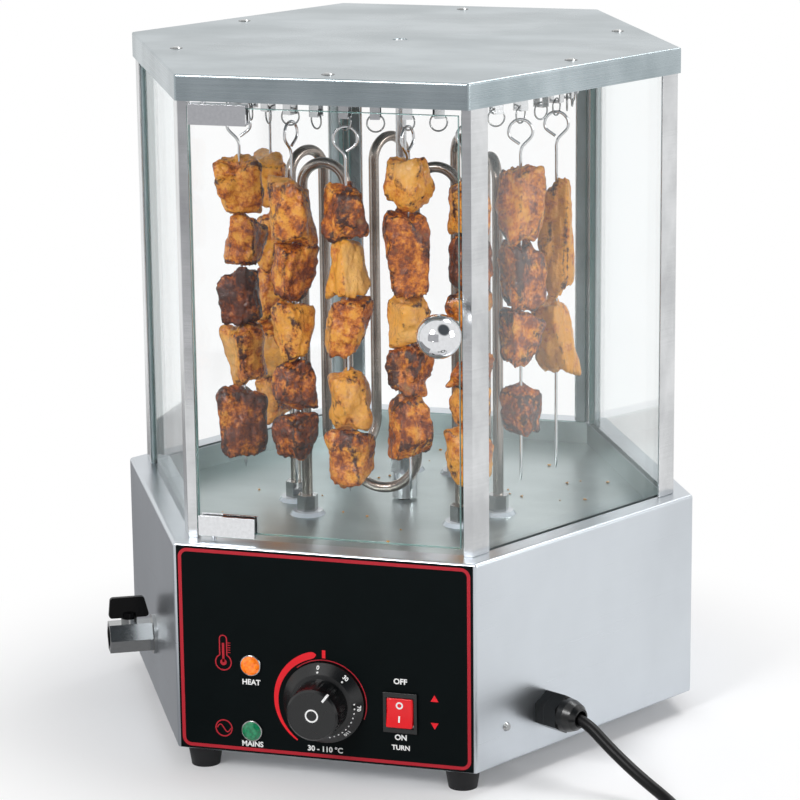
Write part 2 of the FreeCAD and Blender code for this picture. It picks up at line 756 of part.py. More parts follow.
def make_door_knob():
    """Chrome ball on a neck, screwed through the glass to a cap behind it."""
    body = new_body("door_knob")
    ball, neck = "door_knob_radius", 6
    drawing = new_sketch(body, "knob_profile", "XZ_Plane")
    reach = size("door_knob_reach")
    radius = size(ball)
    centre = reach - radius
    waist = centre - math.sqrt(radius ** 2 - neck ** 2)
    front = size("door_glass")
    points = [(0, -3), (7, -3), (7, 0), (3, 0), (3, front), (9, front), (9, front + 2.5), (neck, front + 4.5),
              (neck, waist)]
    spots = [FreeCAD.Vector(px, py, 0) for px, py in points]
    for spot, after in zip(spots, spots[1:]):
        drawing.addGeometry(Part.LineSegment(spot, after), False)
    end = FreeCAD.Vector(0, reach, 0)
    drawing.addGeometry(Part.Arc(spots[-1], FreeCAD.Vector(radius, centre, 0), end), False)
    drawing.addGeometry(Part.LineSegment(end, spots[0]), False)
    item = body.newObject("PartDesign::Revolution", "ball")
    item.Profile = drawing
    item.ReferenceAxis = (drawing, ["V_Axis"])
    item.Angle = 360
    y = size(f"{DOOR_Y} + door_glass / 2")
    return place(body, (size("door_half - door_knob_inset"), y, size("door_knob_level")), TO_FRONT)


# ---------------------------------------------------------------- control panel

def make_control_panel():
    """Black plate on the front skin with openings for the controls."""
    body = new_body("control_panel")
    outline = rectangle("-front_half + panel_margin", "front_half - panel_margin",
                        "foot_height + panel_margin / 2", f"{LEDGE_TOP} - panel_margin / 2")
    pad_polygon(body, "plate", outline, "depth_half", "panel_sheet", "XZ_Plane")
    front = "depth_half + panel_sheet * 2"
    circles = [("0", "knob_level", "spindle_radius + 3.2"),
               ("-lamp_across", "hot_lamp_level", "lamp_thread + 0.2"),
               ("-lamp_across", "power_lamp_level", "lamp_thread + 0.2")]
    cut_circles(body, "holes", circles, front, "panel_sheet * 4", "XZ_Plane")
    cut_polygon(body, "window", rocker_window(), front, "panel_sheet * 4", "XZ_Plane")
    return place(body)


def make_lamp(label, level):
    """Domed lens on a threaded barrel with a nut behind the skin."""
    body = new_body(label)
    rim, back = "lamp_radius", "-(steel + panel_sheet)"
    outline = [("0", "-22"), ("lamp_thread", "-22"), ("lamp_thread", f"{back} - 5"),
               ("lamp_thread + 3", f"{back} - 5"), ("lamp_thread + 3", back), ("lamp_thread", back),
               ("lamp_thread", "0"), (rim, "0"), (rim, "1.4"), (f"{rim} * 0.6", "4.2"), ("0", "5")]
    turn_profile(body, label + "_turned", outline)
    y = -size("depth_half + panel_sheet")
    return place(body, (-size("lamp_across"), y, size(level)), TO_FRONT)


def make_rocker_frame():
    """Switch bezel and hollow body, snapped into the panel's window."""
    body = new_body("rocker_frame")
    half_wide, half_tall = "(rocker_width / 2)", "(rocker_tall / 2)"
    bezel = rectangle(f"-{half_wide}", half_wide, f"-{half_tall}", half_tall)
    pad_polygon(body, "bezel", bezel, "0", "2")
    inner_wide, inner_tall = "(rocker_width / 2 - 1.7)", "(rocker_tall / 2 - 1.7)"
    barrel = rectangle(f"-{inner_wide}", inner_wide, f"-{inner_tall}", inner_tall)
    pad_polygon(body, "barrel", barrel, "-20", "20")
    clear_wide, clear_tall = "(rocker_button_width / 2 + 0.4)", "(rocker_button_tall / 2 + 0.6)"
    mouth = rectangle(f"-{clear_wide}", clear_wide, f"-{clear_tall}", clear_tall)
    cut_polygon(body, "mouth", mouth, "3", "13")
    y = -size("depth_half + panel_sheet")
    pad_circles(body, "terminals", [("0", "-6", "2.4"), ("0", "6", "2.4")], "-27", "8")
    return place(body, (size("rocker_across"), y, size("rocker_level")), TO_FRONT)


def make_rocker_button():
    """Red rocker with two faces at a shallow angle, resting with its upper half pressed."""
    body = new_body("rocker_button")
    half_wide, half_tall = "(rocker_button_width / 2)", "(rocker_button_tall / 2)"
    rise = f"({half_tall} * tan(rocker_lean))"
    section = [(f"-{half_tall}", f"3 + {rise}"), ("0", "3"), (half_tall, f"3 + {rise}"),
               (f"{half_tall} - 1.2", "-4"), ("3", "-6.5"), ("-3", "-6.5"), (f"-{half_tall} + 1.2", "-4")]
    pad_polygon(body, "rocker", section, f"-{half_wide}", "rocker_button_width", "YZ_Plane")
    y = -size("depth_half + panel_sheet")
    lean = FreeCAD.Rotation(FreeCAD.Vector(1, 0, 0), 90 - size("rocker_lean"))
    return place(body, (size("rocker_across"), y, size("rocker_level")), lean)


def make_thermostat_body():
    """Capillary thermostat behind the skin, held by its threaded bush."""
    body = new_body("thermostat_body")
    skin = "(steel + panel_sheet)"
    box = rectangle("-21", "21", "-17", "17")
    pad_polygon(body, "case", box, f"-{skin} - 22", "22")
    pad_circles(body, "bush", [("0", "0", "spindle_radius + 3")], f"-{skin}", skin)
    cut_circles(body, "spindle_hole", [("0", "0", "spindle_radius + spindle_fit")], "1", "18")
    y = -size("depth_half + panel_sheet")
    return place(body, (0, y, size("knob_level")), TO_FRONT)


def make_thermostat_knob():
    """Dial skirt, fluted grip and the spindle that turns in the thermostat's bush."""
    body = new_body("thermostat_knob")
    skirt, grip = "knob_skirt_radius", "knob_grip_radius"
    front = "(knob_reach - panel_sheet)"
    outline = [("0", "-14"), ("spindle_radius", "-14"), ("spindle_radius", "knob_gap"), (skirt, "knob_gap"),
               (skirt, "knob_gap + 1.5"), (f"{grip} + 3", "knob_gap + 7.5"), (grip, "knob_gap + 8"),
               (f"{grip} - 1", f"{front} - 1.5"), (f"{grip} - 2.5", front), ("0", front)]
    turn_profile(body, "dial", outline)
    flutes = 18
    drawing = new_sketch(body, "flute_circles", "XY_Plane", f"{front} + 1")
    for number in range(flutes):
        turn = 2 * math.pi * number / flutes
        add_circle(drawing, f"({grip} + 0.7) * {math.cos(turn):.6f}",
                   f"({grip} + 0.7) * {math.sin(turn):.6f}", "knob_flute")
    feature(body, "Pocket", "flutes", drawing, f"{front} - knob_gap - 9")
    y = -size("depth_half + panel_sheet")
    return place(body, (0, y, size("knob_level")), TO_FRONT)


# ---------------------------------------------------------------- drain valve

def valve_place(out=0.0):
    return flank_spot(-1, size("valve_along"), out, size("valve_level"))


def make_drain_pipe():
    """Elbow from the tray's drain to the valve, with its bore open all the way."""
    top = drain_spot()
    top.z = size(FLOOR)
    corner = FreeCAD.Vector(top.x, top.y, size("valve_level"))
    end = valve_place(7)
    outer, _ = rounded_path([top, corner, end], [size("pipe_radius") * 2])
    tube = swept_tube(outer, size("pipe_radius"))
    tube = tube.cut(swept_tube(outer, size("valve_bore")))
    rotation = flank_rotation(-1)
    nut = Part.makeCylinder(size("pipe_radius") + 5, 5)
    nut.Placement = FreeCAD.Placement(valve_place(-size("steel") - 5), rotation)
    core = Part.makeCylinder(size("pipe_radius"), 5)
    core.Placement = nut.Placement
    return solid_piece("drain_pipe", tube.fuse(nut.cut(core)).removeSplitter())


def make_valve_body():
    """Hexagonal ball-valve body, a flat on top, with a flange against the flank and a threaded outlet."""
    body = new_body("valve_body")
    pad_circles(body, "flange", [("0", "0", "valve_hex + 4")], "0", "2.5")
    pad_polygon(body, "hex", prism_corners("valve_hex", first=0), "2.5", "valve_reach - 2.5")
    cut_circles(body, "passage", [("0", "0", "valve_bore")], "valve_reach + 1", "valve_reach + 2")
    cut_circles(body, "socket", [("0", "0", "pipe_radius + 0.02")], "7", "8")
    cut_circles(body, "outlet", [("0", "0", "outlet_radius")], "valve_reach + 1", "outlet_deep + 1")
    middle = "(valve_reach / 2 + 2)"
    cavity = body.newObject("PartDesign::SubtractiveSphere", "cavity")
    bind(cavity, "Radius", "ball_radius + valve_fit")
    cavity.Placement = FreeCAD.Placement(FreeCAD.Vector(0, 0, size(middle)), FreeCAD.Rotation())
    pad_boss = new_sketch(body, "boss_circle", "XZ_Plane", "-valve_hex - 3.5")
    add_circle(pad_boss, "0", middle, "stem_radius + 3.4")
    feature(body, "Pad", "boss", pad_boss, "5")
    stem = FreeCAD.Rotation(FreeCAD.Vector(1, 0, 0), -90)
    centre = FreeCAD.Vector(0, 0, size(middle))
    bore(body, "stem_hole", centre, stem, "stem_radius + valve_fit", "valve_hex + 8")
    return place(body, valve_place(), flank_rotation(-1))


def make_valve_ball():
    """Bored ball and its stem in one piece; the stem carries the handle."""
    middle = size("valve_reach / 2 + 2")
    radius, root = size("ball_radius"), size("ball_radius") - 2
    ball = Part.makeSphere(radius)
    ball = ball.cut(Part.makeCylinder(size("valve_bore") - 1, 4 * radius, FreeCAD.Vector(0, 0, -2 * radius)))
    stem = Part.makeCylinder(size("stem_radius"), size("valve_hex + 5.5") - root,
                             FreeCAD.Vector(0, root, 0), FreeCAD.Vector(0, 1, 0))
    shape = ball.fuse(stem).removeSplitter()
    shape.Placement = FreeCAD.Placement(valve_place(middle), flank_rotation(-1))
    return solid_piece("valve_ball", shape)


def make_valve_handle():
    """Lever wing on the stem, in line with an open pipe; its inner end leans back from the flank."""
    base, tall = size("valve_hex + 3.9"), size("handle_tall")
    half, sheet = size("handle_length / 2"), size("handle_sheet")
    upright, hub_tall = FreeCAD.Vector(0, 1, 0), 4
    corners = [FreeCAD.Vector(-sheet / 2, y, z)
               for y, z in ((base, -half), (base, half), (base + tall, half - 1.5),
                            (base + tall, -half + size("handle_taper")))]
    wing = Part.Face(Part.makePolygon(corners + corners[:1])).extrude(FreeCAD.Vector(sheet, 0, 0))
    across = [edge for edge in wing.Edges if abs(edge.tangentAt(edge.FirstParameter).x) > 0.99]
    wing = wing.makeFillet(size("handle_round"), across)
    hub = Part.makeCylinder(size("stem_radius + 2.6"), hub_tall, FreeCAD.Vector(0, base, 0), upright)
    seat = Part.makeCylinder(size("stem_radius"), 2.6, FreeCAD.Vector(0, base - 1, 0), upright)
    shape = wing.fuse(hub).removeSplitter().cut(seat)
    shape.Placement = FreeCAD.Placement(valve_place(size("valve_reach / 2 + 2")), flank_rotation(-1))
    return solid_piece("valve_handle", shape)


# ---------------------------------------------------------------- cord and gland

def gland_place(out=0.0):
    return flank_spot(1, size("gland_along"), out, size("gland_level"))


def make_gland_body():
    """Threaded hexagonal gland body with its lock nut inside the flank."""
    body = new_body("gland_body")
    thread = "cord_radius + 3.9"
    pad_circles(body, "thread", [("0", "0", thread)], "-12", "20")
    pad_polygon(body, "hex", prism_corners("gland_hex"), "0", "8")
    pad_polygon(body, "lock_nut", prism_corners("gland_hex + 1"), "-steel - 5", "5")
    cut_circles(body, "passage", [("0", "0", "cord_radius + 0.5")], "9", "22")
    return place(body, gland_place(), flank_rotation(1))


def make_gland_nut():
    """Domed clamping nut; the cord comes out of its nose."""
    body = new_body("gland_nut")
    pad_polygon(body, "grip", prism_corners("gland_hex"), "8", "11")
    nose = [("0", "19"), ("gland_hex", "19"), ("gland_hex - 0.6", "gland_reach - 9"),
            ("gland_hex - 2.6", "gland_reach - 3.5"), ("gland_hex - 5.5", "gland_reach"),
            ("0", "gland_reach")]
    turn_profile(body, "dome", nose)
    cut_circles(body, "passage", [("0", "0", "cord_radius")], "gland_reach + 1", "gland_reach")
    cut_circles(body, "mouth", [("0", "0", "cord_radius + 1.4")], "gland_reach + 1", "12")
    return place(body, gland_place(), flank_rotation(1))


# The mains lead: straight out of the gland, down to the table and round towards the front, as
# (distance out of the flank, distance to the front of the gland, level).  Its put-away length
# lies in a flat coil at the route's end, with the plug next to it.
CORD_ROUTE = [(26.5, 0, 46), (35.3, 0, 44.3), (43.7, 0, 40.9), (53.7, 0, 34.4), (65.8, 0, 27.3),
              (79.9, 0, 19.8), (95.6, 0.6, 13.1), (111.9, 3, 8.4), (128.6, 9.2, 5.5), (144.8, 20.4, 4.5),
              (157.6, 35.6, 4.3), (166.5, 53.2, 4.3), (173.8, 71.6, 4.3), (181.9, 87.6, 4.3)]
COIL_MIDDLE = (213, -310)
COIL_RADIUS = 47          # mean radius of the turns
PLUG_FACE = (96.8, -330.5)


def cord_points():
    """The lead's route from inside the gland's nut to the coil."""
    start = gland_place(size("gland_reach") - 15.5)
    return [start] + [flank_spot(1, size("gland_along") - forward, out, level)
                      for out, forward, level in CORD_ROUTE]


def make_power_cord(coil):
    """The lead as far as the coil, whose outer turn it runs into."""
    doc.recompute()
    spine, radii = rounded_path(cord_points())
    tube = swept_tube(spine, size("cord_radius"))
    print("cord bend radii", [round(radius, 1) for radius in radii])
    wanted = math.pi * size("cord_radius") ** 2 * spine.Length
    print("cord volume ratio", round(tube.Volume / wanted, 4), "length", round(spine.Length, 1))
    wound = coil.Shape.copy()
    wound.translate(-MIDDLE)
    return solid_piece("power_cord", tube.cut(wound))


def make_cord_coil():
    """Outer form of the wound lead: three turns side by side and two on top of them."""
    body = new_body("cord_coil")
    inner, outer = f"{COIL_RADIUS} - 3 * cord_radius", f"{COIL_RADIUS} + 3 * cord_radius"
    outline = [(inner, "0"), (outer, "0"), (outer, "2.1 * cord_radius"),
               (f"{outer} - cord_radius", "4 * cord_radius"), (f"{inner} + cord_radius", "4 * cord_radius"),
               (inner, "2.1 * cord_radius")]
    turn_profile(body, "coil", outline)
    return place(body, (*COIL_MIDDLE, 0))


def make_mains_plug(coil):
    """Round earthed plug with two pins, lying on its rim with its tail against the coil."""
    body = new_body("plug_form")
    rim, rim_back = 18.5, 14
    outline = [("0", "0"), (f"{rim} - 0.5", "0"), (f"{rim}", "2"), (f"{rim}", f"{rim_back}"), ("13", "24"),
               ("9.5", "38"), ("6", "52"), ("5", "60"), ("0", "60")]
    turn_profile(body, "grip", outline)
    pad_circles(body, "pins", [("-9.5", "0", "2.4"), ("9.5", "0", "2.4")], "-19", "20")
    doc.recompute()
    droop, heading = 6.5, 10
    tilt = FreeCAD.Rotation(FreeCAD.Vector(0, 1, 0), 90 + droop)
    lean = math.radians(droop)
    level = rim_back * math.sin(lean) + rim * math.cos(lean) + 0.05
    plug = body.Shape.copy()
    plug.Placement = FreeCAD.Placement(FreeCAD.Vector(*PLUG_FACE, level), about_z(heading).multiply(tilt))
    wound = coil.Shape.copy()
    wound.translate(-MIDDLE)
    return solid_piece("mains_plug", plug.cut(wound))


# ---------------------------------------------------------------- heating elements

def heater_spine():
    """An M of tube in the local XZ plane: two loops at the top and a dip between them."""
    half, loop = size("heater_chord") / 2, size("heater_loop")
    tube = size("heater_tube")
    loop_radius, dip_radius = loop / 2, half - loop
    low = size(f"{FLOOR} - heater_tail")
    high = size("heater_top") - tube - loop_radius
    deep = size("heater_dip") + tube + dip_radius

    def at(x, z):
        return FreeCAD.Vector(x, 0, z)

    edges = [Part.makeLine(at(-half, low), at(-half, high)),
             Part.Arc(at(-half, high), at(-half + loop_radius, high + loop_radius),
                      at(-half + loop, high)).toShape(),
             Part.makeLine(at(-half + loop, high), at(-half + loop, deep)),
             Part.Arc(at(-dip_radius, deep), at(0, deep - dip_radius), at(dip_radius, deep)).toShape(),
             Part.makeLine(at(dip_radius, deep), at(dip_radius, high)),
             Part.Arc(at(dip_radius, high), at(dip_radius + loop_radius, high + loop_radius),
                      at(half, high)).toShape(),
             Part.makeLine(at(half, high), at(half, low))]
    return Part.Wire(edges)


def make_heaters():
    """Three bent tubes round the middle; each stands on two legs that pass through the tray."""
    tube = swept_tube(heater_spine(), size("heater_tube"))
    for label, turn in zip(("heater_front", "heater_left", "heater_right"), heater_turns()):
        shape = tube.copy()
        spot = about_z(turn).multVec(FreeCAD.Vector(size("heater_distance"), 0, 0))
        shape.rotate(FreeCAD.Vector(0, 0, 0), UP, turn + 90)
        shape.translate(spot)
        solid_piece(label, shape)


def make_heater_washers():
    body = new_body("washer_form")
    hole = "heater_tube + 0.05"
    outline = [(hole, "0"), ("washer_radius", "0"), ("washer_radius - 2", "washer_tall"),
               (hole, "washer_tall")]
    turn_profile(body, "washer", outline)
    floor = FreeCAD.Vector(0, 0, size(FLOOR))
    return copies("heater_washers", body, [(spot + floor, FreeCAD.Rotation()) for spot in leg_spots()])


def make_heater_nuts():
    body = new_body("nut_form")
    pad_polygon(body, "nut", prism_corners("nut_flats"), "0", "nut_tall")
    cut_circles(body, "hole", [("0", "0", "heater_tube + 0.05")], "nut_tall + 1", "nut_tall + 2")
    level = FreeCAD.Vector(0, 0, size(f"{FLOOR} + washer_tall"))
    return copies("heater_nuts", body, [(spot + level, FreeCAD.Rotation()) for spot in leg_spots()])


# ---------------------------------------------------------------- drive

def make_motor_bracket():
    """Hat-section bracket welded under the tray; the gear motor hangs from its web."""
    body = new_body("motor_bracket")
    sheet_metal, half, wing = 2, 40, 14
    under = f"({FLOOR} - steel)"
    web = f"({under} - bracket_drop)"
    outline = [(f"-{half + wing}", under), (f"-{half + wing}", f"{under} - {sheet_metal}"),
               (f"-{half}", f"{under} - {sheet_metal}"), (f"-{half}", f"{web} - {sheet_metal}"),
               (f"{half}", f"{web} - {sheet_metal}"), (f"{half}", f"{under} - {sheet_metal}"),
               (f"{half + wing}", f"{under} - {sheet_metal}"), (f"{half + wing}", under),
               (f"{half - sheet_metal}", under), (f"{half - sheet_metal}", web),
               (f"-{half - sheet_metal}", web), (f"-{half - sheet_metal}", under)]
    pad_polygon(body, "hat", outline, "-30", "60", "XZ_Plane")
    cut_circles(body, "boss_hole", [("0", "0", "shaft_radius + 5")], f"{web} + 1", "6")
    return place(body)


MOTOR_TOP = f"({FLOOR} - steel - bracket_drop - 2)"


def make_gear_motor():
    """Slow gear motor: can below, gearbox above, boss with the output bore."""
    body = new_body("gear_motor")
    outline = [("0", f"{MOTOR_TOP} - motor_tall - 44"), ("20", f"{MOTOR_TOP} - motor_tall - 44"),
               ("21", f"{MOTOR_TOP} - motor_tall - 42"), ("21", f"{MOTOR_TOP} - motor_tall"),
               ("motor_radius", f"{MOTOR_TOP} - motor_tall"), ("motor_radius", MOTOR_TOP),
               ("shaft_radius + 4.5", MOTOR_TOP), ("shaft_radius + 4.5", f"{MOTOR_TOP} + 7"),
               ("0", f"{MOTOR_TOP} + 7")]
    turn_profile(body, "case", outline)
    cut_circles(body, "output", [("0", "0", "shaft_radius + shaft_fit")], f"{MOTOR_TOP} + 8", "34")
    return place(body)


def make_drive_socket():
    """Chrome drive socket: stem in the gearbox, skirt over the tray, hexagonal head."""
    body = new_body("drive_socket")
    low, top = f"({FLOOR} + 2)", f"({FLOOR} + socket_tall)"
    neck = f"({top} - socket_hex_tall)"
    stem = [("0", f"{MOTOR_TOP} - 22"), ("shaft_radius", f"{MOTOR_TOP} - 22"), ("shaft_radius", low),
            ("socket_radius", low), ("socket_radius", neck), ("0", neck)]
    turn_profile(body, "skirt", stem)
    pad_polygon(body, "head", prism_corners("socket_radius - 0.4"), neck, "socket_hex_tall")
    cut_circles(body, "seat", [("0", "0", "shaft_radius")], f"{top} + 1", "socket_hex_tall + 9")
    return place(body)


def make_centre_shaft():
    body = new_body("centre_shaft")
    low = f"{FLOOR} + socket_tall - socket_hex_tall - 8"
    pad_circles(body, "bar", [("0", "0", "shaft_radius")], low, f"total_height - 0.6 - ({low})")
    return place(body)


def make_top_bush():
    """Brass bush under the lid; its nose fills the lid's hole and guides the shaft."""
    body = new_body("top_bush")
    under = "(total_height - steel)"
    hole = "(shaft_radius + shaft_fit)"
    outline = [(hole, f"{under} - 14"), ("shaft_radius + 4", f"{under} - 14"),
               ("shaft_radius + 4", f"{under} - 3"), ("bush_radius", f"{under} - 3"), ("bush_radius", under),
               ("lid_hole", under),
               ("lid_hole", "total_height - 0.4"), (hole, "total_height - 0.4")]
    turn_profile(body, "bush", outline)
    return place(body)


def make_carousel_disc():
    """Spoked wheel on the shaft, with one folded strap per ring under its rim."""
    body = new_body("disc_form")
    level, sheet_metal = "disc_level", "disc_sheet"
    top = f"{level} + {sheet_metal}"
    rim_out = "(ring_circle + strap_depth / 2)"
    rim_in = f"({rim_out} - disc_rim)"
    turn_profile(body, "rim", [(rim_in, level), (rim_out, level), (rim_out, top), (rim_in, top)])
    turn_profile(body, "hub", [("shaft_radius", f"{level} - 8"), ("disc_hub - 5", f"{level} - 8"),
                               ("disc_hub - 5", level), ("disc_hub", level), ("disc_hub", top),
                               ("shaft_radius", top)])
    spoke = rectangle("disc_hub - 2", f"{rim_in} + 2", "-spoke_width / 2", "spoke_width / 2")
    drawing = new_sketch(body, "spoke_outline", "XY_Plane", level)
    add_polygon(drawing, spoke)
    spoke_pad = feature(body, "Pad", "spoke", drawing, sheet_metal)
    doc.recompute()
    pattern = body.newObject("PartDesign::PolarPattern", "spokes")
    pattern.Originals = [spoke_pad]
    pattern.Axis = (drawing, ["N_Axis"])
    pattern.Angle = 360
    pattern.Occurrences = 4
    body.Tip = pattern
    doc.recompute()
    strap = strap_shape()
    shapes = [body.Shape.copy()]
    for number in range(int(size("ring_count"))):
        turned = strap.copy()
        turned.rotate(FreeCAD.Vector(0, 0, 0), UP, ring_angle(number))
        shapes.append(turned)
    return solid_piece("carousel_disc", shapes[0].fuse(shapes[1:]).removeSplitter())


def ring_angle(number):
    return size("ring_start") + number * 360 / size("ring_count")


def strap_shape():
    """A strap folded into a U under the rim; its web carries one ring on its two edges."""
    depth, width, leg, web = size("strap_depth"), size("strap_width"), 0.8, size("strap_web")
    near, top, web_top = size("ring_circle") - depth / 2, size("disc_level"), size("strap_level")
    section = [(near, top), (near, web_top - web), (near + depth, web_top - web), (near + depth, top),
               (near + depth - leg, top), (near + depth - leg, web_top), (near + leg, web_top), (near + leg, top)]
    corners = [FreeCAD.Vector(x, -width / 2, z) for x, z in section]
    return Part.Face(Part.makePolygon(corners + corners[:1])).extrude(FreeCAD.Vector(0, width, 0))


def ring_lean(number):
    """How far a ring has twisted in its strap; those at the door hang as they were left."""
    left = {22: -17, 23: -22, 25: -27, 27: 6, 29: -4}
    left.update({skewer[0]: skewer[2] for skewer in SKEWERS})
    return left.get(number, 18 * math.sin(2.4 * number))


def ring_level(number):
    """Height of a ring's middle, where its wire rests on both edges of its strap."""
    lean, half = math.radians(abs(ring_lean(number))), size("ring_wire * 0.884")
    reach = size("strap_width / 2") / math.cos(lean) + half * math.tan(lean)
    return size("strap_level") - math.sqrt((size("ring_radius") - half) ** 2 - reach ** 2) + 0.1


def make_hanging_rings():
    """Wire rings that hang in the straps; each one is an eight-sided link of square wire."""
    wire, middle = size("ring_wire"), size("ring_radius")
    sides = 8
    half = wire / math.sqrt(2) * 1.25

    def plate(flats):
        reach = flats / math.cos(math.pi / sides)
        return Part.Face(Part.makePolygon([polar(reach, 360 * (k + 0.5) / sides) for k in range(sides + 1)]))

    flat = plate(middle + half).cut(plate(middle - half))
    flat.translate(FreeCAD.Vector(0, 0, -half))
    ring = flat.extrude(FreeCAD.Vector(0, 0, 2 * half))
    places = []
    for number in range(int(size("ring_count"))):
        angle = ring_angle(number)
        upright = FreeCAD.Rotation(FreeCAD.Vector(0, 1, 0), 90)
        turn = about_z(angle + ring_lean(number)).multiply(upright)
        places.append((polar(size("ring_circle"), angle, ring_level(number)), turn))
    shapes = []
    for spot, turn in places:
        shape = ring.copy()
        shape.Placement = FreeCAD.Placement(spot, turn)
        shapes.append(shape)
    return solid_piece("hanging_rings", Part.makeCompound(shapes))


# ---------------------------------------------------------------- skewers

# Each loaded skewer: its ring's number, how far its hook is turned from the radius, how far its
# ring is twisted, and its meat from the top down as (upper level, height, width, depth).
SKEWERS = [
    (21, -22, 0, [(429, 44, 41, 36), (384, 37, 36, 34), (346, 41, 34, 33), (301, 45, 41, 36), (254, 52, 43, 38)]),
    (15, 158, 0, [(410, 46, 40, 36), (362, 44, 36, 36), (316, 40, 38, 34), (274, 42, 36, 36), (230, 36, 34, 32)]),
    (24, 8, 37, [(423, 50, 40, 36), (372, 40, 35, 33), (331, 43, 34, 33), (287, 40, 33, 33), (246, 34, 34, 32)]),
    (26, -72, -30, [(421, 41, 36, 34), (379, 42, 36, 33), (336, 42, 36, 34), (286, 46, 37, 34), (239, 43, 36, 32)]),
    (28, -32, -36, [(441, 40, 37, 34), (400, 58, 36, 34), (340, 37, 34, 33), (302, 35, 32, 31), (266, 50, 36, 34)]),
    (30, -112, 30, [(425, 43, 35, 34), (380, 39, 32, 32), (339, 27, 34, 32), (294, 24, 33, 32), (269, 28, 33, 32),
                    (238, 42, 35, 34)]),
    (32, 48, 15, [(429, 54, 42, 36), (368, 46, 38, 35), (321, 42, 36, 34), (265, 38, 34, 32)]),
    (34, 20, 0, [(414, 88, 24, 26), (323, 62, 38, 34)]),
]
HOOK_GAP = "(ring_wire * 0.884 + skewer_wire + skewer_rest)"


def hang_level(number):
    """Height of the hook's wire where it lies on its ring."""
    return ring_level(number) - size("ring_radius") + size(HOOK_GAP)


def hook_path():
    """Centre line of a skewer in its own plane: an open drop-shaped hook, then a straight shank."""
    half, tall = size("hook_half"), size("hook_tall")
    points = [FreeCAD.Vector(-0.1 * half, 0, -0.93 * tall)]
    for degrees in (205, 165, 125, 90, 55, 15, -25):
        angle = math.radians(degrees)
        points.append(FreeCAD.Vector(half * math.cos(angle), 0, half * (math.sin(angle) - 1)))
    points.append(FreeCAD.Vector(0.2 * half, 0, -tall))
    points.append(FreeCAD.Vector(0, 0, -1.2 * tall))
    points.append(FreeCAD.Vector(0, 0, -size("skewer_length")))
    return points


def skewer_shape():
    """Square wire swept along the hook and the shank, ground to a point at the lower end."""
    wire = size("skewer_wire") * 0.88
    points = hook_path()
    spine = Part.Wire([Part.makeLine(a, b) for a, b in zip(points, points[1:])])
    direction = points[1] - points[0]
    direction.normalize()
    side = FreeCAD.Vector(0, 1, 0)
    flat = direction.cross(side)
    start = points[0]
    section = Part.makePolygon([start + (flat * x + side * y) * wire
                                for x, y in ((-1, -1), (1, -1), (1, 1), (-1, 1), (-1, -1))])
    builder = Part.BRepOffsetAPI.MakePipeShell(spine)
    builder.setTransitionMode(1)
    builder.setFrenetMode(False)
    builder.add(section, False, False)
    builder.build()
    builder.makeSolid()
    return builder.shape()


def faceted_barrel(rings):
    """A closed solid of flat faces between rings of equally many corners, capped at both ends."""
    faces = [Part.Face(Part.makePolygon(rings[0] + rings[0][:1])),
             Part.Face(Part.makePolygon(rings[-1] + rings[-1][:1]))]
    for above, below in zip(rings, rings[1:]):
        for k in range(len(above)):
            after = (k + 1) % len(above)
            corners = [above[k], above[after], below[after], below[k], above[k]]
            faces.append(Part.Face(Part.makePolygon(corners)))
    return Part.makeSolid(Part.makeShell(faces))


def meat_shape(tall, wide, deep, turn):
    """A plain lump: an eight-sided barrel with drawn-in ends, turned about the skewer."""
    rows = [(0, 0.62), (0.2, 0.95), (0.55, 1.0), (0.85, 0.88), (1, 0.55)]
    sides = 8
    turns = [2 * math.pi * k / sides + turn for k in range(sides)]
    half_wide, half_deep = wide / 2, deep / 2
    rings = [[FreeCAD.Vector(grow * half_wide * math.cos(turned), grow * half_deep * math.sin(turned),
                             -share * tall) for turned in turns] for share, grow in rows]
    return faceted_barrel(rings)


def make_skewers():
    """Eight loaded skewers; the meat is threaded on them and each hangs in its own ring."""
    form = skewer_shape()
    for number, (ring, yaw, _, lumps) in enumerate(SKEWERS, start=1):
        angle = ring_angle(ring)
        spot = polar(size("ring_circle"), angle, hang_level(ring))
        hook = form.copy()
        hook.rotate(FreeCAD.Vector(0, 0, 0), UP, angle + yaw)
        hook.translate(spot)
        solid_piece(f"skewer_{number}", hook)
        shapes = []
        for order, (level, tall, wide, deep) in enumerate(lumps):
            lump = meat_shape(tall - 0.6, wide, deep, 0.35 * order)
            lump.rotate(FreeCAD.Vector(0, 0, 0), UP, angle + 90)
            lump.translate(FreeCAD.Vector(spot.x, spot.y, level))
            shapes.append(lump)
        solid_piece(f"meat_{number}", Part.makeCompound(shapes))


def make_terminal_block():
    """Ceramic mains terminal block on the bottom plate."""
    body = new_body("terminal_block")
    level = "foot_height + steel * 2"
    pad_polygon(body, "block", rectangle("100", "140", "-75", "-53"), level, "16")
    holes = [(f"{x}", "-64", "2.4") for x in (107, 120, 133)]
    cut_circles(body, "screw_wells", holes, f"{level} + 17", "8")
    return place(body)


# ---------------------------------------------------------------- build and export

make_base_shell()
make_base_bottom()
make_tray()
make_feet()
make_case_screws()
make_lid()
make_lid_screws()
make_top_frame()
make_posts()
make_flank_glass()
make_back_glass()
make_seals()
make_door_glass()
make_door_hinges()
make_door_knob()
make_control_panel()
make_lamp("hot_lamp", "hot_lamp_level")
make_lamp("power_lamp", "power_lamp_level")
make_rocker_frame()
make_rocker_button()
make_thermostat_body()
make_thermostat_knob()
make_drain_pipe()
make_valve_body()
make_valve_ball()
make_valve_handle()
make_gland_body()
make_gland_nut()
coil = make_cord_coil()
make_power_cord(coil)
make_mains_plug(coil)
make_heaters()
make_heater_washers()
make_heater_nuts()
make_motor_bracket()
make_gear_motor()
make_drive_socket()
make_centre_shaft()
make_top_bush()
make_carousel_disc()
make_hanging_rings()
make_skewers()
make_terminal_block()
doc.recompute()

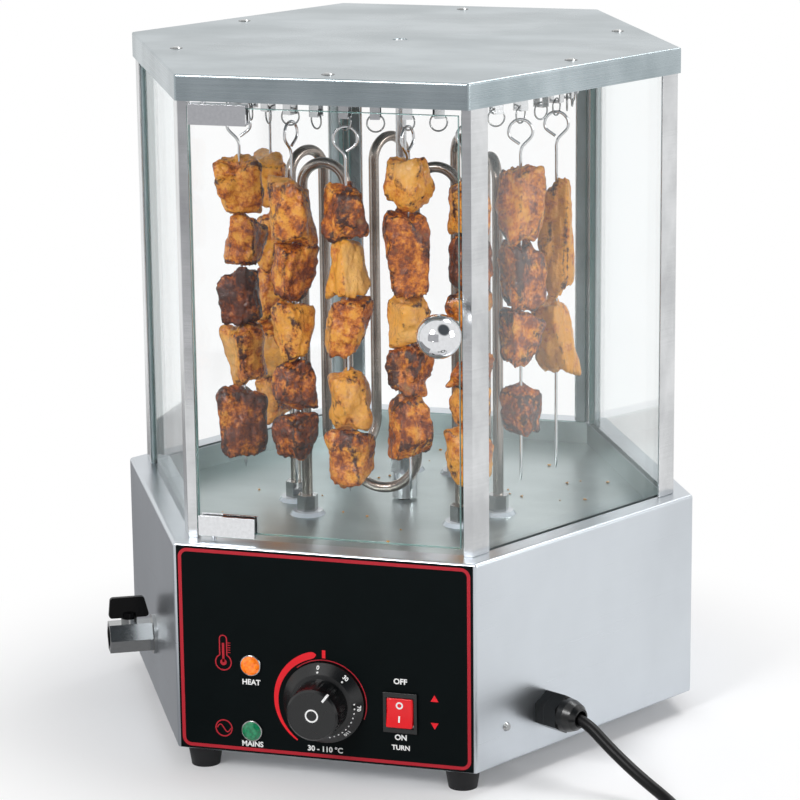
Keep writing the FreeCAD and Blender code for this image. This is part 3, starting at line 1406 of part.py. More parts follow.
for item in doc.Objects:
    if "Invalid" in item.State or "Error" in item.State:
        raise RuntimeError(f"{item.Label} failed: {item.State}")
os.makedirs("parts", exist_ok=True)
for item in pieces:
    if item.Shape.isNull() or not item.Shape.isValid():
        raise RuntimeError(f"{item.Label} has no valid shape")
    item.Shape.exportStep(f"parts/{item.Label}.step")
print(len(pieces), "sub-parts written")
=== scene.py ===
# %% [markdown]
# # An electric skewer grill, dressed
#
# The solids of the grill arrive as a fixed frame, each in its right place. This lesson gives
# them their finishes and adds what solids leave plain: roast meat, bent wire, a lead that
# lies on the table, printing on the panel. Every new piece is a surface worked out with
# numpy, and rides on the body that carries it on the real grill.

# %% Load the frame
import json
import math

import bmesh
import bpy
import numpy as np
from mathutils import Matrix


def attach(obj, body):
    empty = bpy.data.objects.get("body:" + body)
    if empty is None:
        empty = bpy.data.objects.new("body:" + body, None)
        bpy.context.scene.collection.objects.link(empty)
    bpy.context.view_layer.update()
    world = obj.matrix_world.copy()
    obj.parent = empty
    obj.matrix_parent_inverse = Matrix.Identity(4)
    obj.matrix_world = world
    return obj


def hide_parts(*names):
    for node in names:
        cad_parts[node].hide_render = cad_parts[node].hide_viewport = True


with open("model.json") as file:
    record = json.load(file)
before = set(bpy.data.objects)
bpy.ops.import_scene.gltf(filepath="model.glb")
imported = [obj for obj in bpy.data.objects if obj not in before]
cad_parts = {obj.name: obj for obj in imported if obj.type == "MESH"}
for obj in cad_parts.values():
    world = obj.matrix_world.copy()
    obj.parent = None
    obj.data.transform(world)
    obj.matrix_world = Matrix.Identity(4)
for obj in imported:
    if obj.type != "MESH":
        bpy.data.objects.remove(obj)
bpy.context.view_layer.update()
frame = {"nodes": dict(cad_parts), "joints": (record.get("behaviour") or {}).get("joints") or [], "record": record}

nodes = frame["nodes"]

# %% [markdown]
# ## Camera
#
# A product camera stands well back with a long lens, so that the grill keeps its proportions.
# Its place is given in metres, its direction as a turn, a tilt and a slight roll. The three
# axes of the view are worked out from these angles and put into the camera's matrix.

# %% Camera
LENS_MM = 144.757
CAMERA_PLACE = np.array([0.65436, -2.26732, 0.82905])
TURN, TILT, ROLL = (math.radians(a) for a in (16.06, 14.14, -0.6))


def added(name, data):
    """A new object in the scene."""
    made = bpy.data.objects.new(name, data)
    bpy.context.scene.collection.objects.link(made)
    return made


def make_camera():
    """Looks along the direction that turn and tilt give; roll turns the picture about it."""
    ahead = np.array([-math.sin(TURN) * math.cos(TILT), math.cos(TURN) * math.cos(TILT), -math.sin(TILT)])
    level = np.array([math.cos(TURN), math.sin(TURN), 0])
    upright = np.cross(level, ahead)
    across = math.cos(ROLL) * level + math.sin(ROLL) * upright
    above = -math.sin(ROLL) * level + math.cos(ROLL) * upright
    camera = added("camera", bpy.data.cameras.new("camera"))
    camera.data.lens = LENS_MM
    matrix = np.eye(4)
    matrix[:3, :3] = np.stack([across, above, -ahead], 1)
    matrix[:3, 3] = CAMERA_PLACE
    camera.matrix_world = Matrix(matrix)
    bpy.context.scene.camera = camera


make_camera()
bpy.context.scene.view_settings.view_transform = "Standard"
bpy.context.scene.cycles.transparent_max_bounces = 32
print("the camera stands", round(float(np.linalg.norm(CAMERA_PLACE)), 2), "m away")

# %% [markdown]
# ## Paint
#
# A finish is a tree of shader nodes. Written out node by node it is hard to read, so a small
# class wraps a socket and lets Python's signs add the Math nodes: `0.3 + 0.1 * noise` then
# means what it says. Colours are blended with a Mix node, because a Math node would turn
# them grey.

# %% Sockets that can be reckoned with
def sign(operation, flipped=False):
    """What one of Python's signs does: adds a Math node. Flipped is for a Tone that stands second."""
    def worked_out(tone, other):
        return tone.paint.maths(operation, *((other, tone) if flipped else (tone, other)))
    return worked_out


class Tone:
    """A number or colour that varies over a surface: one output socket of a node."""

    __add__, __radd__ = sign("ADD"), sign("ADD", flipped=True)
    __sub__, __rsub__ = sign("SUBTRACT"), sign("SUBTRACT", flipped=True)
    __mul__, __rmul__ = sign("MULTIPLY"), sign("MULTIPLY", flipped=True)
    __pow__ = sign("POWER")

    def __init__(self, paint, socket):
        self.paint = paint
        self.socket = socket

    def __abs__(self):
        return self.paint.maths("ABSOLUTE", self)

    def output(self, name):
        """Another output of the same node."""
        return Tone(self.paint, self.socket.node.outputs[name])


print("Tones can be added, subtracted, multiplied, raised to a power and made positive")

# %% A finish in the making
class Paint:
    """A finish in the making: its node tree, with one method for any node. The world's tree may be given."""

    def __init__(self, name, tree=None):
        self.material = None if tree else bpy.data.materials.new(name)
        if self.material:
            self.material.use_nodes = True
        self.tree = tree or self.material.node_tree
        self.tree.nodes.clear()

    def node(self, kind, settings=None, *values, **named):
        """Adds a node: its settings first, then values or Tones for its sockets by number or name."""
        made = self.tree.nodes.new("ShaderNode" + kind)
        for key, value in (settings or {}).items():
            if key == "stops":
                self.set_stops(made.color_ramp, value)
            else:
                setattr(made, key, value)
        self.fill(made, [*enumerate(values), *named.items()])
        return Tone(self, made.outputs[0] if made.outputs else None)

    def fill(self, made, wanted):
        """Puts values in a node's sockets, or links Tones to them."""
        for key, value in wanted:
            if isinstance(value, Tone):
                self.tree.links.new(value.socket, made.inputs[key])
            else:
                made.inputs[key].default_value = value

    @staticmethod
    def set_stops(ramp, stops):
        while len(ramp.elements) < len(stops):
            ramp.elements.new(0.5)
        for element, (place, colour) in zip(ramp.elements, stops):
            element.position = place
            element.color = (*colour, 1)

    def maths(self, operation, *terms):
        return self.node("Math", {"operation": operation}, *terms)

    def clamped(self, value, low, high):
        """The value's share of the way from low to high, kept between 0 and 1 with soft ends."""
        return self.node("MapRange", {"interpolation_type": "SMOOTHSTEP"}, value, low, high)

    def blended(self, share, first, second):
        """A colour that goes from first to second as share goes from 0 to 1."""
        made = self.tree.nodes.new("ShaderNodeMix")
        made.data_type = "RGBA"
        colours = [colour if isinstance(colour, Tone) else (*colour, 1) for colour in (first, second)]
        self.fill(made, zip((0, 6, 7), (share, *colours)))
        return Tone(self, made.outputs[2])

    def place(self, stretch=(1, 1, 1)):
        """Object coordinates in metres, multiplied by stretch."""
        spot = self.node("TexCoord").output("Object")
        return self.node("Mapping", {"vector_type": "POINT"}, spot, Scale=stretch)

    def along(self, vector, direction):
        """How far a vector goes in a direction: their dot product."""
        return self.node("VectorMath", {"operation": "DOT_PRODUCT"}, vector, direction).output("Value")

    def noise(self, vector, scale, detail=2.0, roughness=0.5):
        return self.node("TexNoise", None, Vector=vector, Scale=scale, Detail=detail, Roughness=roughness)

    def bump(self, height, depth, strength=1.0):
        return self.node("Bump", None, Strength=strength, Distance=depth, Height=height)

    def finish(self, **sockets):
        """Ends the tree in a Principled shader; keys are socket names with _ for blanks."""
        named = {key.replace("_", " "): value for key, value in sockets.items()}
        if isinstance(named["Base Color"], tuple):
            named["Base Color"] = (*named["Base Color"], 1)
        shader = self.node("BsdfPrincipled", None, **named)
        self.node("OutputMaterial", None, shader)
        return self.material


print("ready to mix paint in", len(bpy.data.materials), "materials so far")

# %% [markdown]
# ## Surfaces from numbers
#
# Each shape is a grid of points: rows along it and columns round it. The points come from
# a formula over whole arrays, and the faces join neighbours of the grid. Where a grid closes
# on itself, or ends in a pole, its points meet, and merging doubles closes the skin.

# %% Grids and lathes
def grid_faces(rows, columns):
    """Faces with four corners between neighbours of a grid; they face outwards where rows climb."""
    number = np.arange(rows * columns).reshape(rows, columns)
    corners = [number[:-1, :-1], number[:-1, 1:], number[1:, 1:], number[1:, :-1]]
    return np.stack(corners, -1).reshape(-1, 4)


def surface(points):
    """A shape, points and faces, from a rows x columns x 3 grid."""
    rows, columns, _ = points.shape
    return points.reshape(-1, 3), grid_faces(rows, columns)


def lathe(profile, steps=64):
    """Turns (radius, height) pairs about Z: x = r cos a, y = r sin a. Heights climb along the profile."""
    radius, height = np.array(profile, float).T
    angle = np.linspace(0, 2 * math.pi, steps + 1)
    grid = np.empty((len(radius), steps + 1, 3))
    grid[..., 0] = radius[:, None] * np.cos(angle)
    grid[..., 1] = radius[:, None] * np.sin(angle)
    grid[..., 2] = height[:, None]
    return surface(grid)


print("a grid of 3 rows and 4 columns has", len(grid_faces(3, 4)), "faces")

# %% Lines and tubes
def smooth_line(points, steps=8):
    """A line through the points: between two of them a cubic, whose slopes are those of the neighbours."""
    points = np.array(points, float)
    padded = np.vstack([2 * points[0] - points[1], points, 2 * points[-1] - points[-2]])
    before, start, end, after = padded[:-3], padded[1:-2], padded[2:-1], padded[3:]
    share = np.linspace(0, 1, steps, endpoint=False)[:, None, None]
    line = 0.5 * (2 * start + (end - before) * share
                  + (2 * before - 5 * start + 4 * end - after) * share ** 2
                  + (3 * start - before - 3 * end + after) * share ** 3)
    return np.vstack([line.transpose(1, 0, 2).reshape(-1, 3), points[-1:]])


def directions(line):
    """Unit vectors along a line, from each point's two neighbours, and whether the line is closed."""
    ahead = np.gradient(line, axis=0)
    closed = np.allclose(line[0], line[-1])
    if closed:
        ahead[[0, -1]] = ahead[0] + ahead[-1]
    return ahead / np.linalg.norm(ahead, axis=1)[:, None], closed


def capped(grid, middles, closed):
    """The surface of a grid. An open one gets a cap at each end, where its row meets in a point."""
    if not closed:
        ends = np.repeat(middles[[0, -1], None], grid.shape[1], 1)
        grid = np.concatenate([ends[:1], grid, ends[1:]])
    return surface(grid)


def flat_tube(line, radius, upright, steps=12):
    """A tube round a line that lies in a plane, whose normal is upright; radius may vary along it.
    A point is line + r (cos a side - sin a upright), with side square to the line in its plane."""
    line = np.array(line, float)
    upright = np.array(upright, float) / np.linalg.norm(upright)
    ahead, closed = directions(line)
    side = np.cross(ahead, upright)
    angle = np.linspace(0, 2 * math.pi, steps + 1)[:, None]
    reach = np.broadcast_to(radius, len(line))[:, None, None]
    grid = line[:, None] + reach * (np.cos(angle) * side[:, None] - np.sin(angle) * upright)
    return capped(grid, line, closed)


print("a smooth line through three points has", len(smooth_line(np.eye(3))), "points")

# %% From shapes to pieces
def stood(shape, middle, up=(0, 0, 1), across=(1, 0, 0)):
    """A shape drawn about the origin, with its Z turned to up, its X to across, and moved to middle."""
    points, faces = shape
    up = np.array(up, float) / np.linalg.norm(up)
    across = np.array(across, float) - np.dot(across, up) * up
    across /= np.linalg.norm(across)
    axes = np.stack([across, np.cross(up, across), up])
    return points @ axes + np.array(middle, float), faces


def joined(shapes):
    """Several shapes as one, the faces of each counting on from the points before it."""
    starts = np.cumsum([0] + [len(points) for points, _ in shapes])
    faces = [tuple(corner + start for corner in face)
             for (_, own), start in zip(shapes, starts) for face in own]
    return np.vstack([points for points, _ in shapes]), faces


def make_piece(name, shape, material, body, stands_for=(), sharp=40, marks=None):
    """A finished piece: mesh, material, slot and the body it rides on. marks are numbers per point."""
    points, faces = shape
    mesh = bpy.data.meshes.new(name)
    mesh.from_pydata(points, [], [tuple(face) for face in faces])
    for mark, values in (marks or {}).items():
        mesh.attributes.new(mark, "FLOAT", "POINT").data.foreach_set("value", values.astype(np.float32))
    return dress(name, mesh, material, body, stands_for, sharp)


def dress(name, mesh, material, body, stands_for=(), sharp=40):
    """Closes the seams of a mesh, smooths it but for its sharp edges, and sets it on its body."""
    form = bmesh.new()
    form.from_mesh(mesh)
    bmesh.ops.remove_doubles(form, verts=form.verts, dist=1e-6)
    bmesh.ops.dissolve_degenerate(form, edges=form.edges, dist=1e-7)
    form.to_mesh(mesh)
    form.free()
    mesh.shade_smooth()
    mesh.set_sharp_from_angle(angle=math.radians(sharp))
    mesh.materials.clear()
    mesh.materials.append(material)
    made = added(name, mesh)
    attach(made, body)
    if stands_for:
        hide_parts(*stands_for)
    return made


def cad_points(node):
    """The points of a node, as an array in metres."""
    mesh = nodes[node].data
    points = np.empty(len(mesh.vertices) * 3, np.float32)
    mesh.vertices.foreach_get("co", points)
    return points.reshape(-1, 3).astype(float)


print("the lid's solid has", len(cad_points("lid")), "points")

# %% [markdown]
# ## Sizes read off the solids
#
# The solids already hold every main size. New pieces could repeat them as numbers, but then a
# grill made wider would leave them behind, so they are read from the boxes of the solids and
# from the joints. All are in metres. The grill's axis stands a little behind the origin.

# %% Main sizes
def box(node):
    """The lowest and the highest corner of a node, to a hundredth of a millimetre."""
    points = cad_points(node)
    return np.round([points.min(0), points.max(0)], 5)


base, lid = box("base_shell"), box("lid")
SIDE_HALF, BASE_LOW, LEDGE_LEVEL = base[1, 0], *base[:, 2]
LID_LOW, LID_LEVEL = lid[:, 2]
FRONT_HALF = SIDE_HALF / 2
AXIS_BACK = base[:, 1].mean()
FRONT_DEPTH = base[1, 1] - AXIS_BACK
flank = np.array([SIDE_HALF - FRONT_HALF, FRONT_DEPTH])
FLANK_ALONG, FLANK_ACROSS = np.round(flank / np.linalg.norm(flank), 5)
PANEL_FACE = box("control_panel")[0, 1]
KNOB_FACE = box("thermostat_knob")[0, 1]
KNOB_LEVEL = next(joint["pos_m"][2] for joint in frame["joints"] if joint["child"] == "dial")
print("base", base.tolist(), "lid", lid.tolist(), "knob at", KNOB_LEVEL)

# %% [markdown]
# ## Studio
#
# The table and the walls are white, but for a dark opening high on the right, so that bright
# steel has something to show. Camera, metal and glass see them at full strength, while the
# light that they throw on dull surfaces is set lower. Three large soft lamps do the rest. One
# grey card stands before the table and one lies on it at the left: only metal and glass see
# them, and without them the chrome would mirror nothing but white.

# %% Walls
WALL_WHITE, WALL_DARK = (1.0, 1.0, 1.0), (0.09, 0.10, 0.11)
WALL_LIGHT = 0.36                       # strength of the walls for dull surfaces
OPENING = (0.551, -0.463, 0.695)        # the way to the middle of the opening
OPENING_EDGE = (0.82, 0.92)             # cosines of the angles where it begins and where it is full


def seen_directly(paint):
    """1 for rays that show the studio itself: from the camera, or by way of metal or glass."""
    path = paint.node("LightPath")
    shown = path + path.output("Is Glossy Ray") + path.output("Is Transmission Ray")
    return paint.maths("MINIMUM", shown, 1.0)


def make_walls():
    """The world: white but for the opening, full strength for rays that see it directly."""
    world = bpy.data.worlds.new("walls")
    bpy.context.scene.world = world
    world.use_nodes = True
    paint = Paint("walls", world.node_tree)
    near = paint.along(paint.node("TexCoord").output("Generated"), OPENING)
    shown = seen_directly(paint)
    colour = paint.blended(paint.clamped(near, *OPENING_EDGE) * shown, WALL_WHITE, WALL_DARK)
    strength = WALL_LIGHT + shown * (1 - WALL_LIGHT)
    paint.node("OutputWorld", None, paint.node("Background", None, colour, strength))


make_walls()
print("walls built, the opening at", OPENING)

# %% Table and cards
TABLE_SPAN = 30
TABLE_DULL, TABLE_NEAR, TABLE_LIFT = (0.82, 0.83, 0.85, 1), (0.80, 0.80, 0.81, 1), 0.08
# Between these distances the table turns from dull to white by distance alone, which paints a faint ring of shade
# round the grill.
WHITE_FROM, WHITE_TO = 0.19, 0.42       # distances from the origin over which the table turns white
CARDS = {"front_card": (0.5, [(-0.9, -1.3, 0.01), (0.35, -1.3, 0.01), (0.35, -1.3, 0.8), (-0.9, -1.3, 0.8)]),
         "left_card": (0.33, [(-0.10, -0.42, 0.003), (-0.15, 0.30, 0.003),
                              (-0.95, 0.85, 0.003), (-0.90, -0.36, 0.003)])}


def stage_sheet(name, corners, paint):
    """A flat sheet with four corners that belongs to the studio."""
    mesh = bpy.data.meshes.new(name)
    mesh.from_pydata(corners, [], [(0, 1, 2, 3)])
    mesh.materials.append(paint.material)
    sheet = added(name, mesh)
    return sheet


def make_table():
    """Dull white. Rays that see it directly find it dull round the grill, where it keeps the real
    shadow and, as it turns white by distance alone, a faint ring of painted shade; and plain white
    farther off, where the lamps no longer reach."""
    paint = Paint("table")
    dull = paint.node("BsdfDiffuse", None, TABLE_DULL)
    half = paint.node("BsdfDiffuse", None, TABLE_NEAR)
    far = paint.node("VectorMath", {"operation": "LENGTH"}, paint.place()).output("Value")
    near = paint.node("AddShader", None, half, paint.node("Emission", None, (1, 1, 1, 1), TABLE_LIFT))
    white = paint.node("Emission", None, (1, 1, 1, 1), 1.0)
    # Mixing by distance paints a faint ring of shade round the grill, over its real shadow.
    lifted = paint.node("MixShader", None, paint.clamped(far, WHITE_FROM, WHITE_TO), near, white)
    paint.node("OutputMaterial", None, paint.node("MixShader", None, seen_directly(paint), dull, lifted))
    reach = TABLE_SPAN / 2
    corners = [(-reach, -reach, 0), (reach, -reach, 0), (reach, reach, 0), (-reach, reach, 0)]
    stage_sheet("table", corners, paint)


def make_card(name, grey, corners):
    """A grey card with no thickness, upright or flat on the table, seen by polished surfaces alone."""
    paint = Paint(name)
    paint.node("OutputMaterial", None, paint.node("Emission", None, (grey, grey, grey * 1.03, 1), 1.0))
    card = stage_sheet(name, corners, paint)
    for ray in ("camera", "diffuse", "shadow", "transmission"):
        setattr(card, f"visible_{ray}", False)


make_table()
for name, (grey, corners) in CARDS.items():
    make_card(name, grey, corners)
print("table and", len(CARDS), "cards set up")

# %% Lamps
LAMPS = {"top_lamp": ((0.7, 1.0, 2.1), (0, 0, 0.2), 0.9, 22),       # place, target, size and watts
         "key_lamp": ((-0.7, -2.0, 1.5), (0, 0, 0.3), 0.8, 34),
         "side_lamp": ((2.0, -0.2, 0.8), (0, 0, 0.3), 0.8, 15)}


def make_lamp(name, place, target, size, watts):
    """A square soft lamp that faces its target."""
    light = bpy.data.lights.new(name, "AREA")
    light.size, light.energy = size, watts
    lamp = added(name, light)
    away = np.array(place) - np.array(target)
    lamp.location = place
    lamp.rotation_euler = (math.atan2(math.hypot(away[0], away[1]), away[2]), 0,
                           math.atan2(away[0], -away[1]))


for name, setting in LAMPS.items():
    make_lamp(name, *setting)
print(len(LAMPS), "lamps,", sum(watts for *_, watts in LAMPS.values()), "watts in all")

# %% [markdown]
# ## The lead
#
# A mains lead is heavy and springy: it drops from its gland in one long bend and then lies
# on the table. Its route is a list of points out from the right flank, forward of the gland
# and above the table. The rest of its length is wound up for storage, three turns side by
# side and the last ones on top, and ends in the plug. One smooth curve follows it all.

# %% Lead
GLAND_ALONG, CORD_RADIUS, CORD_LENGTH = 0.074, 0.00425, 1.5
CORD_ROUTE = [(0.0175, 0, 0.046), (0.0265, 0, 0.046), (0.0353, 0, 0.0443), (0.0437, 0, 0.0409),
              (0.0537, 0, 0.0344), (0.0658, 0, 0.0273), (0.0799, 0, 0.0198), (0.0956, 0.0006, 0.0131),
              (0.1119, 0.003, 0.0084), (0.1286, 0.0092, 0.0055), (0.1448, 0.0204, 0.0045),
              (0.1576, 0.0356, 0.0043), (0.1665, 0.0532, 0.0043), (0.1738, 0.0716, 0.0043),
              (0.1819, 0.0876, 0.0043)]
COIL_MIDDLE, COIL_TURNS, POINTS_PER_TURN = (0.213, -0.294), 4.3, 20
STEP_SHARE = 1 / 6                      # the last part of a turn, where it steps over to the next
TURN_RADII = np.array([0.0555, 0.047, 0.0385, 0.04275, 0.05125, 0.05125])
TURN_LEVELS = np.array([0.0043, 0.0043, 0.0043, 0.0118, 0.0118, 0.0118])
TAIL = [(0.1785, -0.3315, 0.0126), (0.1705, -0.3185, 0.0129), (0.1625, -0.3085, 0.0131),
        (0.1535, -0.3046, 0.0134)]


def flank_spot(along, out, level):
    """A point by the right flank: along it from the front corner, out from it, and above the table."""
    return np.array([FRONT_HALF + along * FLANK_ALONG + out * FLANK_ACROSS,
                     -FRONT_DEPTH + along * FLANK_ACROSS - out * FLANK_ALONG + AXIS_BACK, level])


def coil_points():
    """Clockwise turns from the right: at a turn's end its radius and level go over to the next turn's.
    The radius is a little more than the wire's, because the curve cuts the corners of its points."""
    turn = np.arange(1, round(COIL_TURNS * POINTS_PER_TURN) + 1) / POINTS_PER_TURN
    number = turn.astype(int)
    share = np.clip((turn - number - 1 + STEP_SHARE) / STEP_SHARE, 0, 1)
    share = share * share * (3 - 2 * share)
    radius = TURN_RADII[number] * (1 - share) + TURN_RADII[number + 1] * share
    radius /= math.cos(math.pi / POINTS_PER_TURN)
    level = TURN_LEVELS[number] * (1 - share) + TURN_LEVELS[number + 1] * share
    angle = -2 * math.pi * turn
    return np.stack([COIL_MIDDLE[0] + radius * np.cos(angle),
                     COIL_MIDDLE[1] + radius * np.sin(angle), level], 1)


def make_lead(sheath):
    route = [flank_spot(GLAND_ALONG - forward, out, level) for out, forward, level in CORD_ROUTE]
    points = np.vstack([route, coil_points(), TAIL])
    curve = bpy.data.curves.new("mains_lead", "CURVE")
    curve.dimensions, curve.use_fill_caps = "3D", True
    curve.bevel_depth, curve.bevel_resolution, curve.resolution_u = CORD_RADIUS, 6, 6
    spline = curve.splines.new("NURBS")
    spline.points.add(len(points) - 1)
    spline.points.foreach_set("co", np.hstack([points, np.ones((len(points), 1))]).ravel())
    spline.order_u, spline.use_endpoint_u = 3, True
    curve.materials.append(sheath)
    lead = added("mains_lead", curve)
    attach(lead, "cabinet")
    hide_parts("power_cord", "cord_coil")
    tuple(route[0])
    print("the lead runs through", len(points), "points")

# %% [markdown]
# ## Finishes of metal
#
# Brushed steel shows fine lines along the way it was ground, and broad soft clouds: partly
# smudges where hands and heat have dulled it, partly painted reflection, the light and dark
# patches that a mirrored room would give. Both are noise: squeezed hard across the grain for
# the lines, and left wide for the clouds. They move the colour and the roughness a little.

# %% Steel, chrome and other metals
GRAIN_STRETCH = (6, 6, 1400)            # level lines: hardly any change along X and Y


def steel(name, dark, light, grain, clouds, roughness, lines=0.16):
    """Brushed steel: clouds and lines move the colour from dark to light, lines the roughness too."""
    paint = Paint(name)
    # The clouds are partly smudges and partly painted reflection: light and dark patches in the colour that a
    # mirrored room would give.
    cloud = paint.noise(paint.place((1, 1.6, 1)), clouds, 4, 0.55)
    line = paint.noise(paint.place(GRAIN_STRETCH), 1, 3, 0.6)
    share = paint.clamped(cloud + (line - 0.5) * lines, 0.28, 0.72)
    tint = paint.blended(share, dark, light)
    return paint.finish(Base_Color=tint, Metallic=1.0, Roughness=roughness + (line - 0.5) * grain,
                        Normal=paint.bump(line, 0.00004, 0.6))


def shaded(colour, share):
    """A colour made darker or lighter."""
    return tuple(min(1, share * part) for part in colour)


def metal(name, colour, roughness, grain=0.08):
    """Plain metal with a faint uneven polish."""
    paint = Paint(name)
    patch = paint.noise(paint.place(), 400, 3)
    tint = paint.blended(patch, shaded(colour, 0.82), colour)
    return paint.finish(Base_Color=tint, Metallic=1.0, Roughness=roughness + (patch - 0.5) * grain)


print("metal is darkened like this:", shaded((0.5, 0.5, 0.5), 0.82))

# %% Plastic, rubber, lenses and glass
def moulded(name, colour, roughness, grain=0.15, scale=1800, depth=0.00003, coat=0.0, shine=0.5):
    """Moulded plastic or rubber: a fine pebbled skin."""
    paint = Paint(name)
    pebble = paint.noise(paint.place(), scale, 2)
    wide = paint.noise(paint.place(), 40, 3)
    tint = paint.blended(wide, shaded(colour, 0.8), shaded(colour, 1.25))
    return paint.finish(Base_Color=tint, Roughness=roughness + (wide - 0.5) * grain,
                        Normal=paint.bump(pebble, depth), Coat_Weight=coat, Coat_Roughness=0.12,
                        Specular_IOR_Level=shine)


def lens(name, colour, glow):
    """Coloured lamp lens: ribbed inside, so its colour is uneven, with a gloss coat."""
    paint = Paint(name)
    cell = paint.node("TexVoronoi", None, Vector=paint.place(), Scale=450.0)
    tint = paint.blended(paint.clamped(cell, 0.2, 0.9), colour, shaded(colour, 0.6))
    return paint.finish(Base_Color=tint, Roughness=0.18, Coat_Weight=0.35, Coat_Roughness=0.05,
                        Emission_Color=tint, Emission_Strength=glow)


def pane_glass(name):
    """Tempered glass: clear seen square on, a mirror at a glancing angle, sea green in its cut edges,
    with a haze of grease on the flanks. A cut edge is where the normal isn't that of an upright pane."""
    paint = Paint(name)
    normal = paint.node("NewGeometry").output("Normal")
    facing = 0.0
    for direction in ((0, 1, 0), (FLANK_ACROSS, FLANK_ALONG, 0), (FLANK_ACROSS, -FLANK_ALONG, 0)):
        facing = paint.maths("MAXIMUM", abs(paint.along(normal, direction)), facing)
    edge = 1 - paint.clamped(facing, 0.96, 0.985)
    glance = paint.node("LayerWeight").output("Facing")
    mirror = 0.015 + glance ** 5.0 * 0.9
    smear = paint.noise(paint.place((1, 1, 0.35)), 7, 4, 0.6)
    greasy = 1 - paint.clamped(abs(paint.along(normal, (0, 1, 0))), 0.5, 0.9)
    haze = paint.clamped(smear, 0.3, 0.8) * (greasy * 0.09 + 0.006)
    tint = paint.blended(edge, (0.86, 0.93, 0.94), (0.20, 0.38, 0.36))
    return paint.finish(Base_Color=tint, Metallic=1 - edge * 0.8, Roughness=0.03 + edge * 0.2,
                        Alpha=paint.maths("MAXIMUM", mirror + haze, edge * 0.92))


print("the flank panes face along", (float(FLANK_ACROSS), float(FLANK_ALONG)), "and its mirror")

# %% The finishes, each with its maker and that maker's values
RECIPES = {
    "brushed_steel": (steel, (0.54, 0.575, 0.61), (0.62, 0.66, 0.70), 0.08, 5, 0.29, 0.1),
    # The lid's steel is the same steel painted darker: painted shade, for the darker room that the lid mirrors.
    "lid_steel": (steel, (0.28, 0.33, 0.35), (0.43, 0.485, 0.51), 0.14, 10, 0.28, 0.05),
    "tray_steel": (steel, (0.33, 0.39, 0.39), (0.50, 0.57, 0.57), 0.1, 6, 0.32, 0.1),
    "polished_steel": (steel, (0.50, 0.51, 0.52), (0.72, 0.73, 0.74), 0.08, 14, 0.2),
    "heater_tube": (steel, (0.26, 0.22, 0.19), (0.46, 0.41, 0.37), 0.12, 22, 0.24, 0.3),
    "chrome": (metal, (0.80, 0.81, 0.83), 0.06, 0.03),
    "nickel": (metal, (0.40, 0.41, 0.41), 0.12),
    "skewer_steel": (metal, (0.72, 0.73, 0.74), 0.16),
    "rubber": (moulded, (0.006, 0.006, 0.007), 0.5, 0.15, 1800, 0.00003, 0.0, 0.35),
    "black_plastic": (moulded, (0.003, 0.0035, 0.004), 0.26),
    "black_panel": (moulded, (0.0022, 0.0042, 0.0046), 0.42, 0.1, 2600, 0.00001, 0.0, 0.05),
    "seal_rubber": (moulded, (0.38, 0.45, 0.47), 0.35),
    "black_handle": (moulded, (0.0015, 0.0015, 0.0018), 0.14, 0.06, 1200, 0.00001, 0.0, 0.1),
    "cord_rubber": (moulded, (0.002, 0.002, 0.0024), 0.4, 0.12, 900, 0.00002, 0.0, 0.2),
    "motor_paint": (moulded, (0.05, 0.05, 0.055), 0.4),
    "red_button": (moulded, (0.78, 0.010, 0.016), 0.2, 0.05, 1500, 0.00001, 0.0, 0.35),
    "steatite": (moulded, (0.62, 0.70, 0.78), 0.14, 0.05, 700, 0.00001, 0.8),
    "amber_lens": (lens, (1.0, 0.20, 0.008), 0.5),
    "green_lens": (lens, (0.006, 0.24, 0.10), 0.1),
    "clear_glass": (pane_glass,),
}
finishes = {name: maker(name, *values) for name, (maker, *values) in RECIPES.items()}
print(len(finishes), "finishes mixed")

# %% [markdown]
# Every solid names the slot of its material, and gets the finish of that name. Three solids
# look unlike the rest of their slot: grey seals, the greenish tray and the bright bush.

# %% Every node gets its finish
OWN_FINISH = {"glass_seals": "seal_rubber", "tray": "tray_steel", "top_bush": "chrome"}
for part in frame["record"]["subparts"]:
    name = OWN_FINISH.get(part["node"], part["material_slot"])
    if name in finishes:
        mesh = nodes[part["node"]].data
        mesh.materials.clear()
        mesh.materials.append(finishes[name])

print(len(nodes), "nodes have their finish")
make_lead(finishes["cord_rubber"])

# %% [markdown]
# ## Roast meat
#
# The meat is pork cut into chunks and roasted: flat cut faces with softened edges, shrunk
# and wrinkled, dark where it stands out. A chunk could be sculpted from a cube, but nearly
# forty need a rule. Here each one is the space inside a dozen random planes: in a direction n
# the skin lies at r = (sum of (n.a / d)^k)^(-1/k) over the planes' normals a and distances d.
# A large k gives crisp edges. Smooth random numbers over space then dent and wrinkle it.

# %% The values of the meat
CORNERS_PER_LUMP = 144                  # points of one lump in its solid
CRISP, EDGE_WIDTH = 9, 0.09             # the power k, and how near two planes must be to make an edge
CROOKED, TURN_MOST = 0.15, 0.7          # how crooked a chunk is cut, and its turn in radians
SIDE_DISTANCES, CHAMFER_DISTANCES = (0.82, 1.0), (0.92, 1.12)
SWELLS = ((0.2, 0.75, 0), (0.11, 0.36, 1), (0.03, 0.13, 5))     # height, cell and seed of each
NEAR_ENOUGH, PRESS = 0.008, 0.0016      # chunks nearer than this touch, and dent each other
MARKS = ("crust", "fat", "shade")
MEAT_TONES = {1: (0.30, 0.48, 0.86, 0.36, 0.78), 2: (0.20, 0.25, 0.30, 0.35, 0.40),
              3: (0.36, 0.52, 0.20, 0.66, 0.72), 4: (0.62, 0.08, 0.42, 0.14, 0.42),
              5: (0.18, 0.58, 0.22, 0.60, 0.50), 6: (0.30, 0.80, 0.40, 0.55, 0.25, 0.22),
              7: (0.40, 0.55, 0.50, 0.70), 8: (0.12, 0.06)}


print("meat for", len(MEAT_TONES), "skewers,", sum(map(len, MEAT_TONES.values())), "chunks in all")

